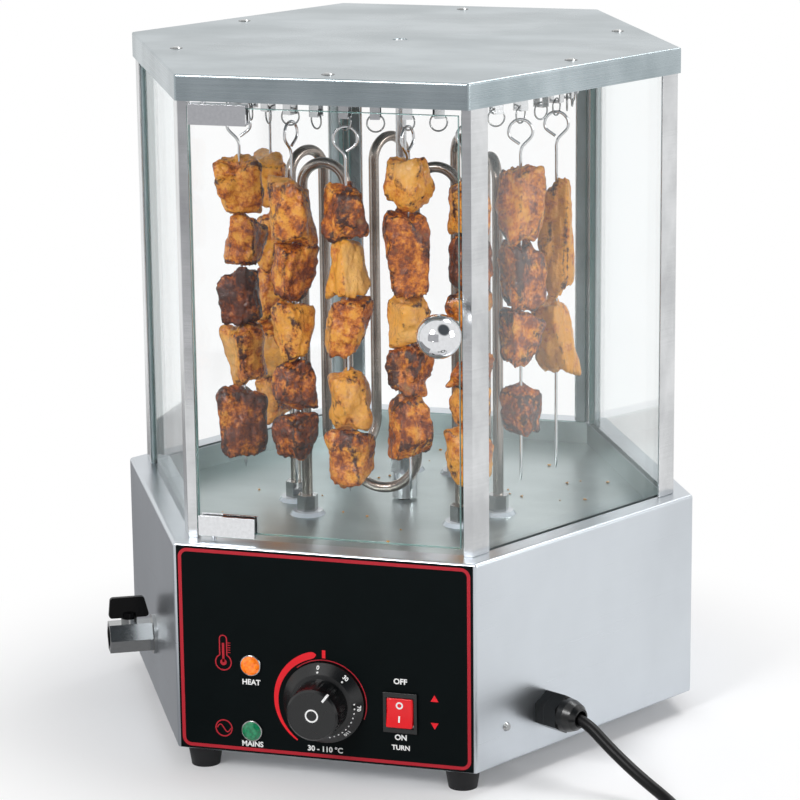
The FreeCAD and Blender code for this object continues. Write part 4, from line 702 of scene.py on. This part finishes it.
# %% Random numbers over space, and ways from a middle
def unevenness(points, cell, seed):
    """Smooth random numbers from -1 to 1 over space: every corner of a lattice of cubes holds one,
    and between the corners they blend by 3t^2 - 2t^3."""
    spot = points / cell + seed * 17.3
    low = np.floor(spot).astype(int)
    share = spot - low
    share = share * share * (3 - 2 * share)
    total = np.zeros(len(points))
    for corner in np.ndindex(2, 2, 2):
        number = (low + corner) @ np.array([127.1, 311.7, 74.7])
        value = np.sin(number + seed * 3.1) * 43758.5453
        weight = np.prod(np.where(corner, share, 1 - share), axis=1)
        total += weight * (2 * (value - np.floor(value)) - 1)
    return total


def turned(angle):
    """The rows of this matrix are the axes after a turn about Z."""
    turn = [[math.cos(angle), math.sin(angle), 0], [-math.sin(angle), math.cos(angle), 0], [0, 0, 1]]
    return np.array(turn)


def ways_round(rows, columns):
    """Directions from a middle, by latitude and longitude; the last column is the first again."""
    rise = np.linspace(-math.pi / 2, math.pi / 2, rows)[:, None]
    longitude = np.linspace(0, 2 * math.pi, columns + 1)[None]
    longitude[0, -1] = 0
    across = np.cos(rise) * np.cos(longitude), np.cos(rise) * np.sin(longitude)
    return np.stack(np.broadcast_arrays(*across, np.sin(rise)), -1).reshape(-1, 3)


print("a ball of 3 rows and 4 columns has", len(ways_round(3, 4)), "ways out")

# %% Chunks of meat
def chunk(low, high, tone, seed, rows=72, columns=96):
    """One chunk between two corners, with its marks: crust, fat and shade for every point."""
    random = np.random.default_rng(seed)
    tilt = random.normal(0, CROOKED, (6, 3))
    tilt[[2, 5]] *= 0.6
    upright = turned(random.uniform(-TURN_MOST, TURN_MOST))
    sides = np.vstack([upright, -upright]) + tilt
    normals = np.vstack([sides, random.normal(0, 1, (4, 3))])
    normals /= np.linalg.norm(normals, axis=1)[:, None]
    distance = np.concatenate([random.uniform(*SIDE_DISTANCES, 6), random.uniform(*CHAMFER_DISTANCES, 4)])
    fatness = random.uniform(0, 1, 10) ** 2
    ways = ways_round(rows, columns)
    press = np.clip(ways @ normals.T, 0, None) / distance
    powers = press ** CRISP
    reach = powers.sum(1) ** (-1 / CRISP)
    edge = np.clip((1 - reach * press.max(1)) / EDGE_WIDTH, 0, 1)
    fat = (powers / powers.sum(1)[:, None]) @ fatness
    points = ways * reach[:, None]
    swell = sum(height * unevenness(points, cell, seed + more) for height, cell, more in SWELLS)
    wrinkle = 0.05 * (1 - 2 * abs(unevenness(points * (1, 1, 0.6), 0.2, seed + 2)))
    fibre = 0.012 * unevenness(points * (1, 1, 0.4), 0.07, seed + 3)
    points = points * (1 + swell + wrinkle * (0.35 + 1.1 * tone) + fibre)[:, None]
    least, most = points.min(0), points.max(0)
    points = low + (points - least) / (most - least) * (high - low)
    spots = 0.25 * unevenness(points, 0.009, seed + 4)
    crust = np.clip(0.55 * edge + 0.55 * tone + 5 * wrinkle - 0.2 + spots, 0, 1)
    marks = (crust, fat * (1 - 0.8 * tone), np.full(len(points), tone))
    return (points, grid_faces(rows, columns + 1)), dict(zip(MARKS, marks))


print("a chunk has", len(chunk(np.zeros(3), np.ones(3), 0.5, 1)[0][0]), "points")

# %% The glaze of the meat
BROWNS = [(0.0, (0.82, 0.36, 0.035)), (0.28, (0.60, 0.165, 0.008)), (0.6, (0.26, 0.050, 0.004)),
          (1.0, (0.095, 0.017, 0.003))]
FAT_COLOUR, BURNT_COLOUR = (0.88, 0.50, 0.14), (0.055, 0.010, 0.002)


def meat_paint():
    """Golden to brown by the marks, paler where fat shows, near black on crust, all of it glazed."""
    paint = Paint("roast_meat")
    crust, fat, shade = (paint.node("Attribute", {"attribute_name": mark}).output("Fac") for mark in MARKS)
    fine = paint.noise(paint.place(), 420, 4, 0.65)
    wide = paint.noise(paint.place(), 95, 4, 0.6)
    fibres = paint.noise(paint.place((1, 1, 0.35)), 1100, 3, 0.6)
    brownness = paint.clamped(shade * 0.8 + (wide - 0.5) * 1.9 + (fine - 0.5) * 0.9, 0.0, 1.0)
    tint = paint.node("ValToRGB", {"stops": BROWNS}, brownness)
    lean = paint.blended(paint.clamped(fat + (wide - 0.5) * 0.8, 0.35, 0.8) * 0.75, tint, FAT_COLOUR)
    burnt = paint.clamped(crust + (fine - 0.5) * 1.3, 0.32, 0.80)
    colour = paint.blended(burnt, lean, BURNT_COLOUR)
    height = fibres * 0.15 + fine * 0.4 + paint.noise(paint.place(), 170, 3, 0.6)
    return paint.finish(Base_Color=colour, Roughness=0.10 + fine * 0.22, Specular_IOR_Level=0.45,
                        Coat_Weight=0.15, Coat_Roughness=0.12,
                        Subsurface_Weight=0.05, Subsurface_Radius=(1.0, 0.3, 0.1), Subsurface_Scale=0.002,
                        Normal=paint.bump(height, 0.0017, 1.0))


roast = meat_paint()
print("roast meat glazed, from", BROWNS[0][1], "to", BROWNS[-1][1])

# %% Eight skewers full
for number, tones in MEAT_TONES.items():
    lumps = cad_points(f"meat_{number}").reshape(-1, CORNERS_PER_LUMP, 3)
    lows, highs = lumps.min(1), lumps.max(1)
    rooms = lows[:-1, 2] - highs[1:, 2]
    pressed = np.where(rooms < NEAR_ENOUGH, np.clip(rooms, 0, None) / 2 + PRESS, 0)
    lows[:-1, 2] -= pressed
    highs[1:, 2] += pressed
    chunks = [chunk(low, high, tone, 100 * number + order)
              for order, (low, high, tone) in enumerate(zip(lows, highs, tones))]
    marks = {mark: np.concatenate([marked[mark] for _, marked in chunks]) for mark in MARKS}
    make_piece(f"roast_{number}", joined([shape for shape, _ in chunks]), roast,
               f"skewer_{number}_load", [f"meat_{number}"], 180, marks)
    print("skewer", number, "carries", len(chunks), "chunks")

# %% [markdown]
# ## Bent wire
#
# Hooks and rings are round wire. A ring is a tube round a circle; each solid ring tells where
# its middle is and which way it faces, as the direction in which its points spread least. A
# hook is a tube round a line drawn through a few given points, in the plane of its skewer.

# %% Rings and skewers
RING_COUNT, RING_RADIUS, RING_WIRE = 36, 0.0062, 0.00062
SKEWER_WIRE, POINT_WIRE = 0.0011, 0.0002        # radius of the wire, and of its ground point
SKEWER_LENGTH, HOOK_HALF, HOOK_TALL = 0.268, 0.0086, 0.019
HOOK_TURNS = (-22, 158, 8, -72, -32, -112, 48, 20)      # degrees away from the axis, per skewer
HOOK_ANGLES = np.radians([205, 165, 125, 90, 55, 15, -25])
HOOK_OVER_JOINT = 0.00258


def circle(middle, first, second, radius, steps=40):
    """A closed line: middle + r (cos a first + sin a second)."""
    angle = np.linspace(0, 2 * math.pi, steps + 1)[:, None]
    return middle + radius * (np.cos(angle) * first + np.sin(angle) * second)


def ring_shapes():
    """Each ring anew: its middle is that of its box, its axis the last row of the points' SVD."""
    for corners in cad_points("hanging_rings").reshape(RING_COUNT, -1, 3):
        middle = (corners.min(0) + corners.max(0)) / 2
        first, second, facing = np.linalg.svd(corners - corners.mean(0), full_matrices=False)[2]
        yield flat_tube(circle(middle, first, second, RING_RADIUS), RING_WIRE, facing, 10)


def skewer_shape(hang, turn):
    """A round wire from the hook's open end, over its top, down to the ground point."""
    along = np.array([math.cos(turn), math.sin(turn), 0])
    bends = [(-0.1 * HOOK_HALF, -0.93 * HOOK_TALL)]
    bends += [(HOOK_HALF * math.cos(a), HOOK_HALF * (math.sin(a) - 1)) for a in HOOK_ANGLES]
    bends += [(0.2 * HOOK_HALF, -HOOK_TALL), (0, -1.25 * HOOK_TALL), (0, -1.6 * HOOK_TALL)]
    hook = smooth_line([hang + along * x + (0, 0, z) for x, z in bends], 8)
    drops = np.array([-0.2, -0.9, -0.985, -1.0])[:, None] * (0, 0, SKEWER_LENGTH) + hang
    radius = np.concatenate([np.full(len(hook) + 3, SKEWER_WIRE), [POINT_WIRE]])
    return flat_tube(np.vstack([hook, drops]), radius, np.cross(along, (0, 0, 1)), 12)


make_piece("wire_rings", joined(list(ring_shapes())), finishes["nickel"], "carousel",
           ["hanging_rings"])
swings = [joint for joint in frame["joints"] if joint["child"].startswith("skewer_")]
for joint in swings:
    number = int(joint["child"].split("_")[1])
    hang = np.array(joint["pos_m"]) + (0, 0, HOOK_OVER_JOINT)
    turn = math.atan2(hang[1] - AXIS_BACK, hang[0]) + math.radians(HOOK_TURNS[number - 1])
    make_piece(f"bent_skewer_{number}", skewer_shape(hang, turn), finishes["skewer_steel"],
               joint["child"], [f"skewer_{number}"])
print(RING_COUNT, "rings and", len(swings), "skewers bent")

# %% [markdown]
# ## Bent sheet
#
# Skirt and lid are folded from one-millimetre sheet. A fold is never a knife edge: it has a
# radius, and there the steel mirrors a whole strip of the room as one bright line. A bevel
# on the solid's edges could give this, but its holes and triangles make that uncertain, so
# each sheet is drawn anew: a section, as (distance in from the outline, level) pairs with
# round bends, is carried round a hexagon whose corners are round too.

# %% Skirt and lid
SHEET, BEND, LID_BEND = 0.001, 0.0022, 0.0014      # thickness, and outer radii of the folds
TIGHT, BRACE = 0.0003, 0.0008           # the least radius, and how far beside a bend a point is added
LEDGE_WIDE, LIP_WIDE, LID_GAP, LID_HOLE = 0.020, 0.032, 0.011, 0.006


def hexagon(inset, level, bend=BEND, steps=6):
    """A closed ring inset from the cabinet's outline. Each corner is an arc of radius bend - inset,
    whose middle lies on the corner's bisector; where the inset is more than the bend it is tight."""
    corners = np.array([(FRONT_HALF, -FRONT_DEPTH), (SIDE_HALF, 0), (FRONT_HALF, FRONT_DEPTH),
                        (-FRONT_HALF, FRONT_DEPTH), (-SIDE_HALF, 0), (-FRONT_HALF, -FRONT_DEPTH)])
    ahead = np.roll(corners, -1, 0) - corners
    ahead /= np.linalg.norm(ahead, axis=1)[:, None]
    outward = np.stack([ahead[:, 1], -ahead[:, 0]], 1)
    before = np.roll(outward, 1, 0)
    radius = max(bend - inset, TIGHT)
    middles = corners - (inset + radius) * (before + outward) / (1 + (before * outward).sum(1))[:, None]
    low = np.arctan2(before[:, 1], before[:, 0])
    turn = (np.arctan2(outward[:, 1], outward[:, 0]) - low) % (2 * math.pi)
    angle = low[:, None] + turn[:, None] * np.linspace(0, 1, steps + 1)
    ring = middles[:, None] + radius * np.stack([np.cos(angle), np.sin(angle)], -1)
    first = ring[:, :1] - BRACE * np.roll(ahead, 1, 0)[:, None]
    last = ring[:, -1:] + BRACE * ahead[:, None]
    ring = np.concatenate([first, ring, last], 1).reshape(-1, 2)
    ring = np.vstack([ring, ring[:1]])
    return np.column_stack([ring[:, 0], ring[:, 1] + AXIS_BACK, np.full(len(ring), level)])


def fold(inset, level, radius, start, end, steps=4):
    """Section points on a bend: an arc about (inset, level), from angle start to end in degrees."""
    angle = np.radians(np.linspace(start, end, steps + 1))
    return [(inset + radius * math.cos(a), level + radius * math.sin(a)) for a in angle]


def round_hole(ring, radius):
    """The ring drawn together into a round hole about the grill's axis, each point along its own ray."""
    rays = ring[:, :2] - (0, AXIS_BACK)
    rays = rays / np.linalg.norm(rays, axis=1)[:, None] * radius
    return np.column_stack([rays[:, 0], rays[:, 1] + AXIS_BACK, ring[:, 2]])


def folded(section, bend=BEND):
    """The section carried round the hexagon. Beside every bend it gets one more point, BRACE away, so
    that the bend's shading ends there and the flats stay flat."""
    section = np.array(section)
    spots = [section[0]]
    for near, far in zip(section[:-1], section[1:]):
        length = math.dist(near, far)
        step = (far - near) / max(length, 1e-9) * BRACE
        spots += [near + step, far - step, far] if length > 4 * BRACE else [far]
    return [hexagon(inset, level, bend) for inset, level in spots]


print("the cabinet's outline has", len(hexagon(0, 0)), "points")

# %% The base's skirt
HIGH_FOLD, LOW_FOLD = (BEND, LEDGE_LEVEL - BEND), (BEND, BASE_LOW + BEND)
skirt = [(LEDGE_WIDE, LEDGE_LEVEL - SHEET), *fold(*HIGH_FOLD, BEND - SHEET, 90, 180),
         *fold(*LOW_FOLD, BEND - SHEET, 180, 270), (LIP_WIDE, BASE_LOW + SHEET), (LIP_WIDE, BASE_LOW),
         *fold(*LOW_FOLD, BEND, 270, 180), *fold(*HIGH_FOLD, BEND, 180, 90),
         (LEDGE_WIDE, LEDGE_LEVEL), (LEDGE_WIDE, LEDGE_LEVEL - SHEET)]
make_piece("bent_skirt", surface(np.array(folded(skirt))[::-1]), finishes["brushed_steel"],
           "cabinet", ["base_shell"], 50)
print("skirt folded from", len(skirt), "section points")

# %% The lid
fold_in, fold_level = LID_GAP + LID_BEND, LID_LEVEL - LID_BEND
inside = folded([(LID_GAP, LID_LOW), (LID_GAP + SHEET, LID_LOW),
                 *fold(fold_in, fold_level, LID_BEND - SHEET, 180, 90)], LID_GAP + BEND)
outside = folded([(fold_in + BRACE, LID_LEVEL), *fold(fold_in, fold_level, LID_BEND, 90, 180),
                  (LID_GAP, LID_LOW)], LID_GAP + BEND)
cap = [*inside, round_hole(inside[-1], LID_HOLE), round_hole(outside[0], LID_HOLE), *outside]
# The lid wears the darker lid steel: painted shade for the darker room it mirrors.
make_piece("bent_lid", surface(np.array(cap)), finishes["lid_steel"], "cabinet",
           ["lid"], 50)
print("lid folded, with a hole of", LID_HOLE * 2, "m")

# %% [markdown]
# ## Broken edges
#
# Smaller sheet and moulded pieces keep their solids' form, and only their edges are broken:
# a copy of the solid is merged, its flat faces are made whole again, and a narrow bevel runs
# along every edge where two faces meet at more than a given angle.

# %% Softened copies of solids
def softened(name, node, reach, steps=3, meet=30):
    """A copy of a node whose edges are rounded by reach, where their faces meet at more than meet degrees."""
    form = bmesh.new()
    form.from_mesh(nodes[node].data)
    bmesh.ops.remove_doubles(form, verts=form.verts, dist=1e-6)
    bmesh.ops.dissolve_limit(form, angle_limit=math.radians(1), verts=form.verts, edges=form.edges)
    edges = [edge for edge in form.edges
             if len(edge.link_faces) == 2 and edge.calc_face_angle(0) > math.radians(meet)]
    bmesh.ops.bevel(form, geom=edges, offset=reach, segments=steps, profile=0.5, affect="EDGES",
                    clamp_overlap=True)
    mesh = bpy.data.meshes.new(name)
    form.to_mesh(mesh)
    form.free()
    body = next(body for body, held in frame["record"]["behaviour"]["bodies"].items() if node in held)
    slot = next(part["material_slot"] for part in frame["record"]["subparts"] if part["node"] == node)
    piece = dress(name, mesh, finishes[slot], body, [node], sharp=50)
    piece.modifiers.new("flats stay flat", "WEIGHTED_NORMAL").keep_sharp = True
    print(name, "has", len(edges), "broken edges")


for edges_of in (("bent_posts", "corner_posts", 0.0009), ("polished_clamps", "door_hinges", 0.0007),
                 ("panel_plate", "control_panel", 0.0002, 2), ("switch_bezel", "rocker_frame", 0.0004),
                 ("switch_rocker", "rocker_button", 0.0012, 4, 25),
                 ("forged_valve", "valve_body", 0.0005, 2), ("valve_lever_wing", "valve_handle", 0.0009),
                 ("gland_hexagon", "gland_body", 0.0004, 2), ("door_pane", "door_glass", 0.0004, 2)):
    softened(*edges_of)

# %% [markdown]
# ## Print
#
# The panel is screen printed in red and white: a border, a scale round the dial, words and
# signs. A picture could be wrapped on it, but print made of thin plates stays sharp at any
# distance. A line of print is a flat band carried along points; letters come from Blender's
# own font, thickened and made a mesh. The words are plain ones. Print is drawn in
# millimetres, from a middle, and only its finished points are turned into metres.

# %% Bands, dots and frames
MM = 0.001
INK = 0.12                              # thickness of the print
LETTER_SHARE = 0.72                     # how much of the font's size a capital letter takes
TO_FRONT = {"up": (0, -1, 0), "across": (1, 0, 0)}


def band(line, width):
    """A flat band along points (x, y), lying on z = 0; its width may vary along it."""
    line = np.array(line, float)
    ahead, closed = directions(line)
    side = np.stack([-ahead[:, 1], ahead[:, 0]], 1) * (np.broadcast_to(width, len(line)) / 2)[:, None]
    left, right = line + side, line - side
    grid = np.zeros((len(line), 5, 3))
    for column, (edge, level) in enumerate(((left, 0), (right, 0), (right, INK), (left, INK), (left, 0))):
        grid[:, column, :2] = edge
        grid[:, column, 2] = level
    return capped(grid * MM, grid[:, :4].mean(1) * MM, closed)


def arc(radius, start, end, middle=(0, 0), steps=None):
    """Points on a circle, from one angle to another in degrees."""
    angle = np.radians(np.linspace(start, end, steps or 2 + int(abs(end - start) / 4)))
    return np.stack([middle[0] + radius * np.cos(angle), middle[1] + radius * np.sin(angle)], 1)


def dot(radius, middle=(0, 0), corners=24, turn=0.0):
    """A filled disc, or with few corners a triangle."""
    points, faces = lathe([(0, 0), (radius, 0), (radius, INK), (0, INK)], corners)
    return (points @ turned(turn) + (*middle, 0)) * MM, faces


def frame_line(half, low, high, corner):
    """A closed line round a rectangle with round corners."""
    spots = ((half, high, 0), (-half, high, 90), (-half, low, 180), (half, low, 270))
    runs = [arc(corner, start, start + 90,
                (x - corner * math.copysign(1, x), z - corner * (1 if z == high else -1)), 9)
            for x, z, start in spots]
    return np.vstack([*runs, runs[0][:1]])


print("the print is", INK, "mm thick")

# %% Letters and inks
def word(text, tall, middle=(0, 0), bold=0.03):
    """Letters on z = 0, as high as tall and centred on middle."""
    curve = bpy.data.curves.new("word", "FONT")
    curve.body = text
    curve.size = tall * MM / LETTER_SHARE
    curve.align_x = "CENTER"
    curve.offset = bold * curve.size
    curve.extrude = INK * MM / 2
    curve.resolution_u = 3
    letters = bpy.data.objects.new("word", curve)
    mesh = bpy.data.meshes.new_from_object(letters)
    points = np.empty(len(mesh.vertices) * 3)
    mesh.vertices.foreach_get("co", points)
    points = points.reshape(-1, 3) + np.array([middle[0], middle[1] - tall / 2, INK / 2]) * MM
    faces = [tuple(face.vertices) for face in mesh.polygons]
    bpy.data.objects.remove(letters)
    bpy.data.meshes.remove(mesh)
    bpy.data.curves.remove(curve)
    return points, faces


def ink(name, colour):
    """Screen ink: an even colour with a dull skin."""
    return Paint(name).finish(Base_Color=colour, Roughness=0.35, Specular_IOR_Level=0.25)


white_ink = ink("white_ink", (0.86, 0.86, 0.85))
red_ink = ink("red_ink", (0.80, 0.012, 0.022))
dim_red_ink = ink("dim_red_ink", (0.44, 0.014, 0.026))
print("three inks mixed")

# %% [markdown]
# The panel's marks stand round its fittings, so their places come from the solids of lamps,
# switch and knob. The arc beside the dial grows thicker as the grill gets hotter.

# %% Scale, thermometer and wave
BORDER = {"half": 106.7, "low": 20.1, "high": 166.9, "corner": 5.5}
DIAL_LEVEL = KNOB_LEVEL / MM
LAMP_X, HOT_Z = box("hot_lamp").mean(0)[[0, 2]] / MM
POWER_Z = box("power_lamp").mean(0)[2] / MM
SWITCH_X = box("rocker_frame").mean(0)[0] / MM
SWEEP_FROM, SWEEP_TO, SWEEP_STEPS = 99.5, 236, 60       # degrees, from the thick end to the thin one
SWEEP_OUT, SWEEP_IN, SWEEP_THIN = 38.0, 32.6, 3.6       # radii, and how far the inner one grows
BULB_X, BULB_Z, BULB, TUBE, TUBE_TALL = -75.4, 84.6, 5.9, 2.7, 20.2
WAVE_X, WAVE_Z, WAVE_RING, WAVE_HALF, WAVE_TALL = -76.2, 34.6, 6.1, 5.2, 2.7


def scale_sweep():
    """The thick arc from the dial's lower left round to its top. Both edges are arcs, the inner one
    nears the outer one towards the thin end, and the thick end is round. Gives line and widths."""
    angle = np.linspace(SWEEP_FROM, SWEEP_TO, SWEEP_STEPS)
    share = (angle - SWEEP_FROM) / (SWEEP_TO - SWEEP_FROM)
    outer = SWEEP_OUT - 0.6 * share
    inner = SWEEP_IN + SWEEP_THIN * share ** 1.3
    rounding = np.sqrt(np.clip(1 - (1 - np.arange(SWEEP_STEPS) / 3.5).clip(0) ** 2, 0.02, 1))
    middle, turn = (outer + inner) / 2, np.radians(angle)
    line = np.stack([middle * np.cos(turn), middle * np.sin(turn) + DIAL_LEVEL], 1)
    return line, (outer - inner) * rounding


def thermometer(x, low):
    """Outline of a tube that opens into a bulb, with its filling and five marks at its side."""
    joint = math.degrees(math.asin(TUBE / BULB))
    ring = arc(BULB, 90 + joint, 450 - joint, (x, low), 40)
    top = arc(TUBE, 0, 180, (x, low + TUBE_TALL - TUBE), 12)
    marks = [band([(x + 3.4, low + z), (x + 5.4, low + z)], 0.6) for z in (7.5, 9.3, 11.1, 12.9, 14.7)]
    return [band(np.vstack([ring, top, ring[:1]]), 0.9), band([(x, low), (x, low + 14.5)], 1.7),
            dot(2.4, (x, low)), *marks]


def wave_sign(x, z):
    """The sign for alternating current: one wave in a circle."""
    across = np.linspace(-WAVE_HALF, WAVE_HALF, 33)
    wave = np.stack([x + across, z + WAVE_TALL * np.sin(-across / WAVE_HALF * math.pi)], 1)
    return [band(arc(WAVE_RING, 0, 360, (x, z), 49), 0.9), band(wave, 0.8)]


print("the scale's sweep is at most", round(scale_sweep()[1].max(), 1), "mm wide")

# %% The panel's print
WORDS = [("HEAT", 4.0, LAMP_X, 71.3), ("MAINS", 4.0, LAMP_X, 24.5), ("OFF", 4.1, SWITCH_X, 81.1),
         ("ON", 4.1, SWITCH_X, 39.3), ("TURN", 3.6, SWITCH_X, 31.6), ("30 - 110 °C", 4.0, 0, 25.3)]
ARROWS = [(81.4, 69.7, math.radians(90)), (81.4, 50.6, math.radians(-90))]
PRINTS = {
    "panel_red_print": (red_ink, [band(*scale_sweep()),
                                  band([(0, DIAL_LEVEL + 32.6), (0, DIAL_LEVEL + 38.6)], 2.6),
                                  *[dot(3.3, (x, z), 3, turn) for x, z, turn in ARROWS]]),
    "panel_border_print": (dim_red_ink, [band(frame_line(**BORDER), 2.5),
                                         band(arc(31.3, -20, 130, (0, DIAL_LEVEL)), 0.7),
                                         *thermometer(BULB_X, BULB_Z), *wave_sign(WAVE_X, WAVE_Z)]),
    "panel_white_print": (white_ink, [word(text, tall, (x, z)) for text, tall, x, z in WORDS]),
}
for name, (paint, marks) in PRINTS.items():
    make_piece(name, stood(joined(marks), (0, PANEL_FACE, 0), **TO_FRONT), paint, "cabinet")
    print(name, "has", len(marks), "marks")

# %% [markdown]
# The dial's scale is printed on its sloping skirt, so each number stands on the slope, its
# head outwards. The hub has a plain ring. The white pointer lies on the knob's face and folds
# over its rim. The marks turn with the dial.

# %% Dial
SKIRT_NEAR, SKIRT_FAR, SKIRT_NEAR_OUT, SKIRT_FAR_OUT = 23.0, 30.0, 8.7, 2.7     # radii, heights
NUMBERS = [("0", 3.2, 96), ("30", 3.0, 50), ("70", 3.0, -2), ("110", 2.8, -48)]     # text, height, angle
NUMBER_RADIUS, DOT_RADIUS = 27.3, 24.4
STEPS_BETWEEN, STEP_RADIUS = np.arange(6, -82, -8.2), 24.5
PRINT_LIFT = 0.02                       # keeps the print's underside off the slope


def on_skirt(shape, angle, radius):
    """A flat mark laid on the dial's slope at an angle from the right, anticlockwise seen from the front."""
    share = (radius - SKIRT_NEAR) / (SKIRT_FAR - SKIRT_NEAR)
    out = SKIRT_NEAR_OUT + share * (SKIRT_FAR_OUT - SKIRT_NEAR_OUT)
    turn = math.radians(angle)
    radial = np.array([math.cos(turn), 0, math.sin(turn)])
    normal = radial * (SKIRT_NEAR_OUT - SKIRT_FAR_OUT) + (0, SKIRT_NEAR - SKIRT_FAR, 0)
    middle = radial * radius * MM + (0, PANEL_FACE - out * MM, KNOB_LEVEL)
    lifted = middle + normal / np.linalg.norm(normal) * PRINT_LIFT * MM
    return stood(shape, lifted, normal, (math.sin(turn), 0, -math.cos(turn)))


dial_marks = [on_skirt(word(text, tall), angle, NUMBER_RADIUS) for text, tall, angle in NUMBERS]
dial_marks += [on_skirt(dot(size), angle, DOT_RADIUS) for size, angle in ((0.8, 96), (0.7, 50))]
dial_marks += [on_skirt(dot(0.62), angle, STEP_RADIUS) for angle in STEPS_BETWEEN]
dial_marks.append(stood(band(arc(4.3, 0, 360, steps=49), 1.15), (0, KNOB_FACE, KNOB_LEVEL), **TO_FRONT))
make_piece("dial_print", joined(dial_marks), white_ink, "dial")
print("the dial has", len(dial_marks), "marks")

# %% Pointer
POINTER_TURN, POINTER_HALF = math.radians(54), 0.85
POINTER_RUN = np.array([(13.6, 31.0), (17.5, 31.0), (19.0, 29.5), (19.15, 27.0)])   # radius, height
POINTER_LIFT = np.array([(0, 0.15), (0.06, 0.14), (0.13, 0.07), (0.15, 0)])


def pointer():
    """A white bar: along the knob's face, over its chamfer and onto its side. Its section is the run
    moved out by the lift and in by twice the lift, and closes in a point on both sides."""
    outer, inner = POINTER_RUN + POINTER_LIFT, POINTER_RUN - POINTER_LIFT * 2
    section = np.vstack([outer, inner[::-1], outer[:1]])
    grid = np.stack([np.insert(section, 1, across, axis=1) for across in (-POINTER_HALF, POINTER_HALF)])
    along = (math.cos(POINTER_TURN), 0, math.sin(POINTER_TURN))
    shape = capped(grid * MM, grid[:, :-1].mean(1) * MM, False)
    return stood(shape, (0, PANEL_FACE, KNOB_LEVEL), (0, -1, 0), along)


make_piece("dial_pointer", pointer(), white_ink, "dial", sharp=20)
print("the pointer is", POINTER_HALF * 2, "mm wide")

# %% [markdown]
# The rocker's two faces meet in a fold. At rest its upper half is pressed in and upright,
# with a ring on it, and the lower half stands out at a tilt, with a bar. Both marks rock
# with it.

# %% Switch
UPPER_FACE, FOLD_LEVEL, LOWER_TILT = -0.19998, 0.05837, math.radians(14)
RING_LEVEL, BAR_DROP = 0.0640, 0.0044   # the ring's level, and how far below the fold the bar stands
ring_mark = stood(band(arc(2.1, 0, 360, steps=33), 1.15), (SWITCH_X * MM, UPPER_FACE, RING_LEVEL), **TO_FRONT)
down, out = math.cos(LOWER_TILT), math.sin(LOWER_TILT)
bar_spot = (SWITCH_X * MM, UPPER_FACE - BAR_DROP * out, FOLD_LEVEL - BAR_DROP * down)
bar_mark = stood(band([(0, -2.3), (0, 2.3)], 1.2), bar_spot, (0, -down, out))
make_piece("switch_marks", joined([ring_mark, bar_mark]), white_ink, "rocker")
print("the bar stands at", np.round(bar_spot, 4).tolist())

# %% [markdown]
# Each lamp's lens is held by a thin bright bezel, turned and pressed against the panel.

# %% Lamp bezels
BEZEL = np.array([(6.4, 0), (7.9, 0), (8.0, 1.0), (7.6, 1.7), (6.8, 1.9), (6.2, 1.4), (6.4, 0)]) * MM
bezels = [stood(lathe(BEZEL, 64), (LAMP_X * MM, PANEL_FACE, z * MM), **TO_FRONT) for z in (HOT_Z, POWER_Z)]
make_piece("lamp_bezels", joined(bezels), finishes["nickel"], "cabinet", sharp=60)
print(len(bezels), "bezels turned")

# %% [markdown]
# Each of the lid's screws has a thin dark ring round its head: painted shadow, for the shade in the gap under the
# head.

# %% Painted shadow round the screws
LID_SCREWS = 6
# Section, in mm, of the thin dark ring of painted shadow round each screw head.
SHADOW_RING = np.array([(2.6, 0), (4.7, 0), (4.7, 0.12), (2.6, 0.12), (2.6, 0)]) * MM
heads = cad_points("lid_screws").reshape(LID_SCREWS, -1, 3)
shadow_rings = [stood(lathe(SHADOW_RING, 32), (x, y, LID_LEVEL))
         for x, y, _ in np.round((heads.min(1) + heads.max(1)) / 2, 4)]
make_piece("screw_shadow_rings", joined(shadow_rings), finishes["black_plastic"], "cabinet")
print(len(shadow_rings), "seats pressed")

# %% [markdown]
# Crumbs have dropped on the tray: little lumps, each a ball pushed out of shape, with the
# marks and the glaze of the meat.

# %% Crumbs
CRUMB_COUNT, CRUMB_SIZES = 30, (0.0004, 0.0012)
TRAY_FLOOR, TRAY_REACH = 0.153, (0.05, 0.165)


def crumb(random):
    """A ball whose radius wanders, set down somewhere on the tray."""
    ball = [(math.cos(a), math.sin(a)) for a in np.linspace(-math.pi / 2, math.pi / 2, 9)]
    points, faces = lathe(ball, 12)
    size = random.uniform(*CRUMB_SIZES)
    wander = 1 + 0.35 * unevenness(points, 0.8, random.integers(1000))
    points = points * size * wander[:, None] * (1.3, 1, 0.7)
    reach, turn = random.uniform(*TRAY_REACH), random.uniform(0, 2 * math.pi)
    spot = np.array([reach * math.cos(turn), reach * math.sin(turn) + AXIS_BACK, TRAY_FLOOR])
    return points + spot - (0, 0, points[:, 2].min()), faces


crumbs = [crumb(np.random.default_rng(number)) for number in range(CRUMB_COUNT)]
size = len(crumbs[0][0])
browning = np.repeat(np.linspace(0, 0.3, CRUMB_COUNT), size)
marks = {"crust": browning, "fat": np.full(CRUMB_COUNT * size, 0.7), "shade": browning}
make_piece("crumbs", joined(crumbs), roast, "cabinet", sharp=180, marks=marks)
print(CRUMB_COUNT, "crumbs dropped")
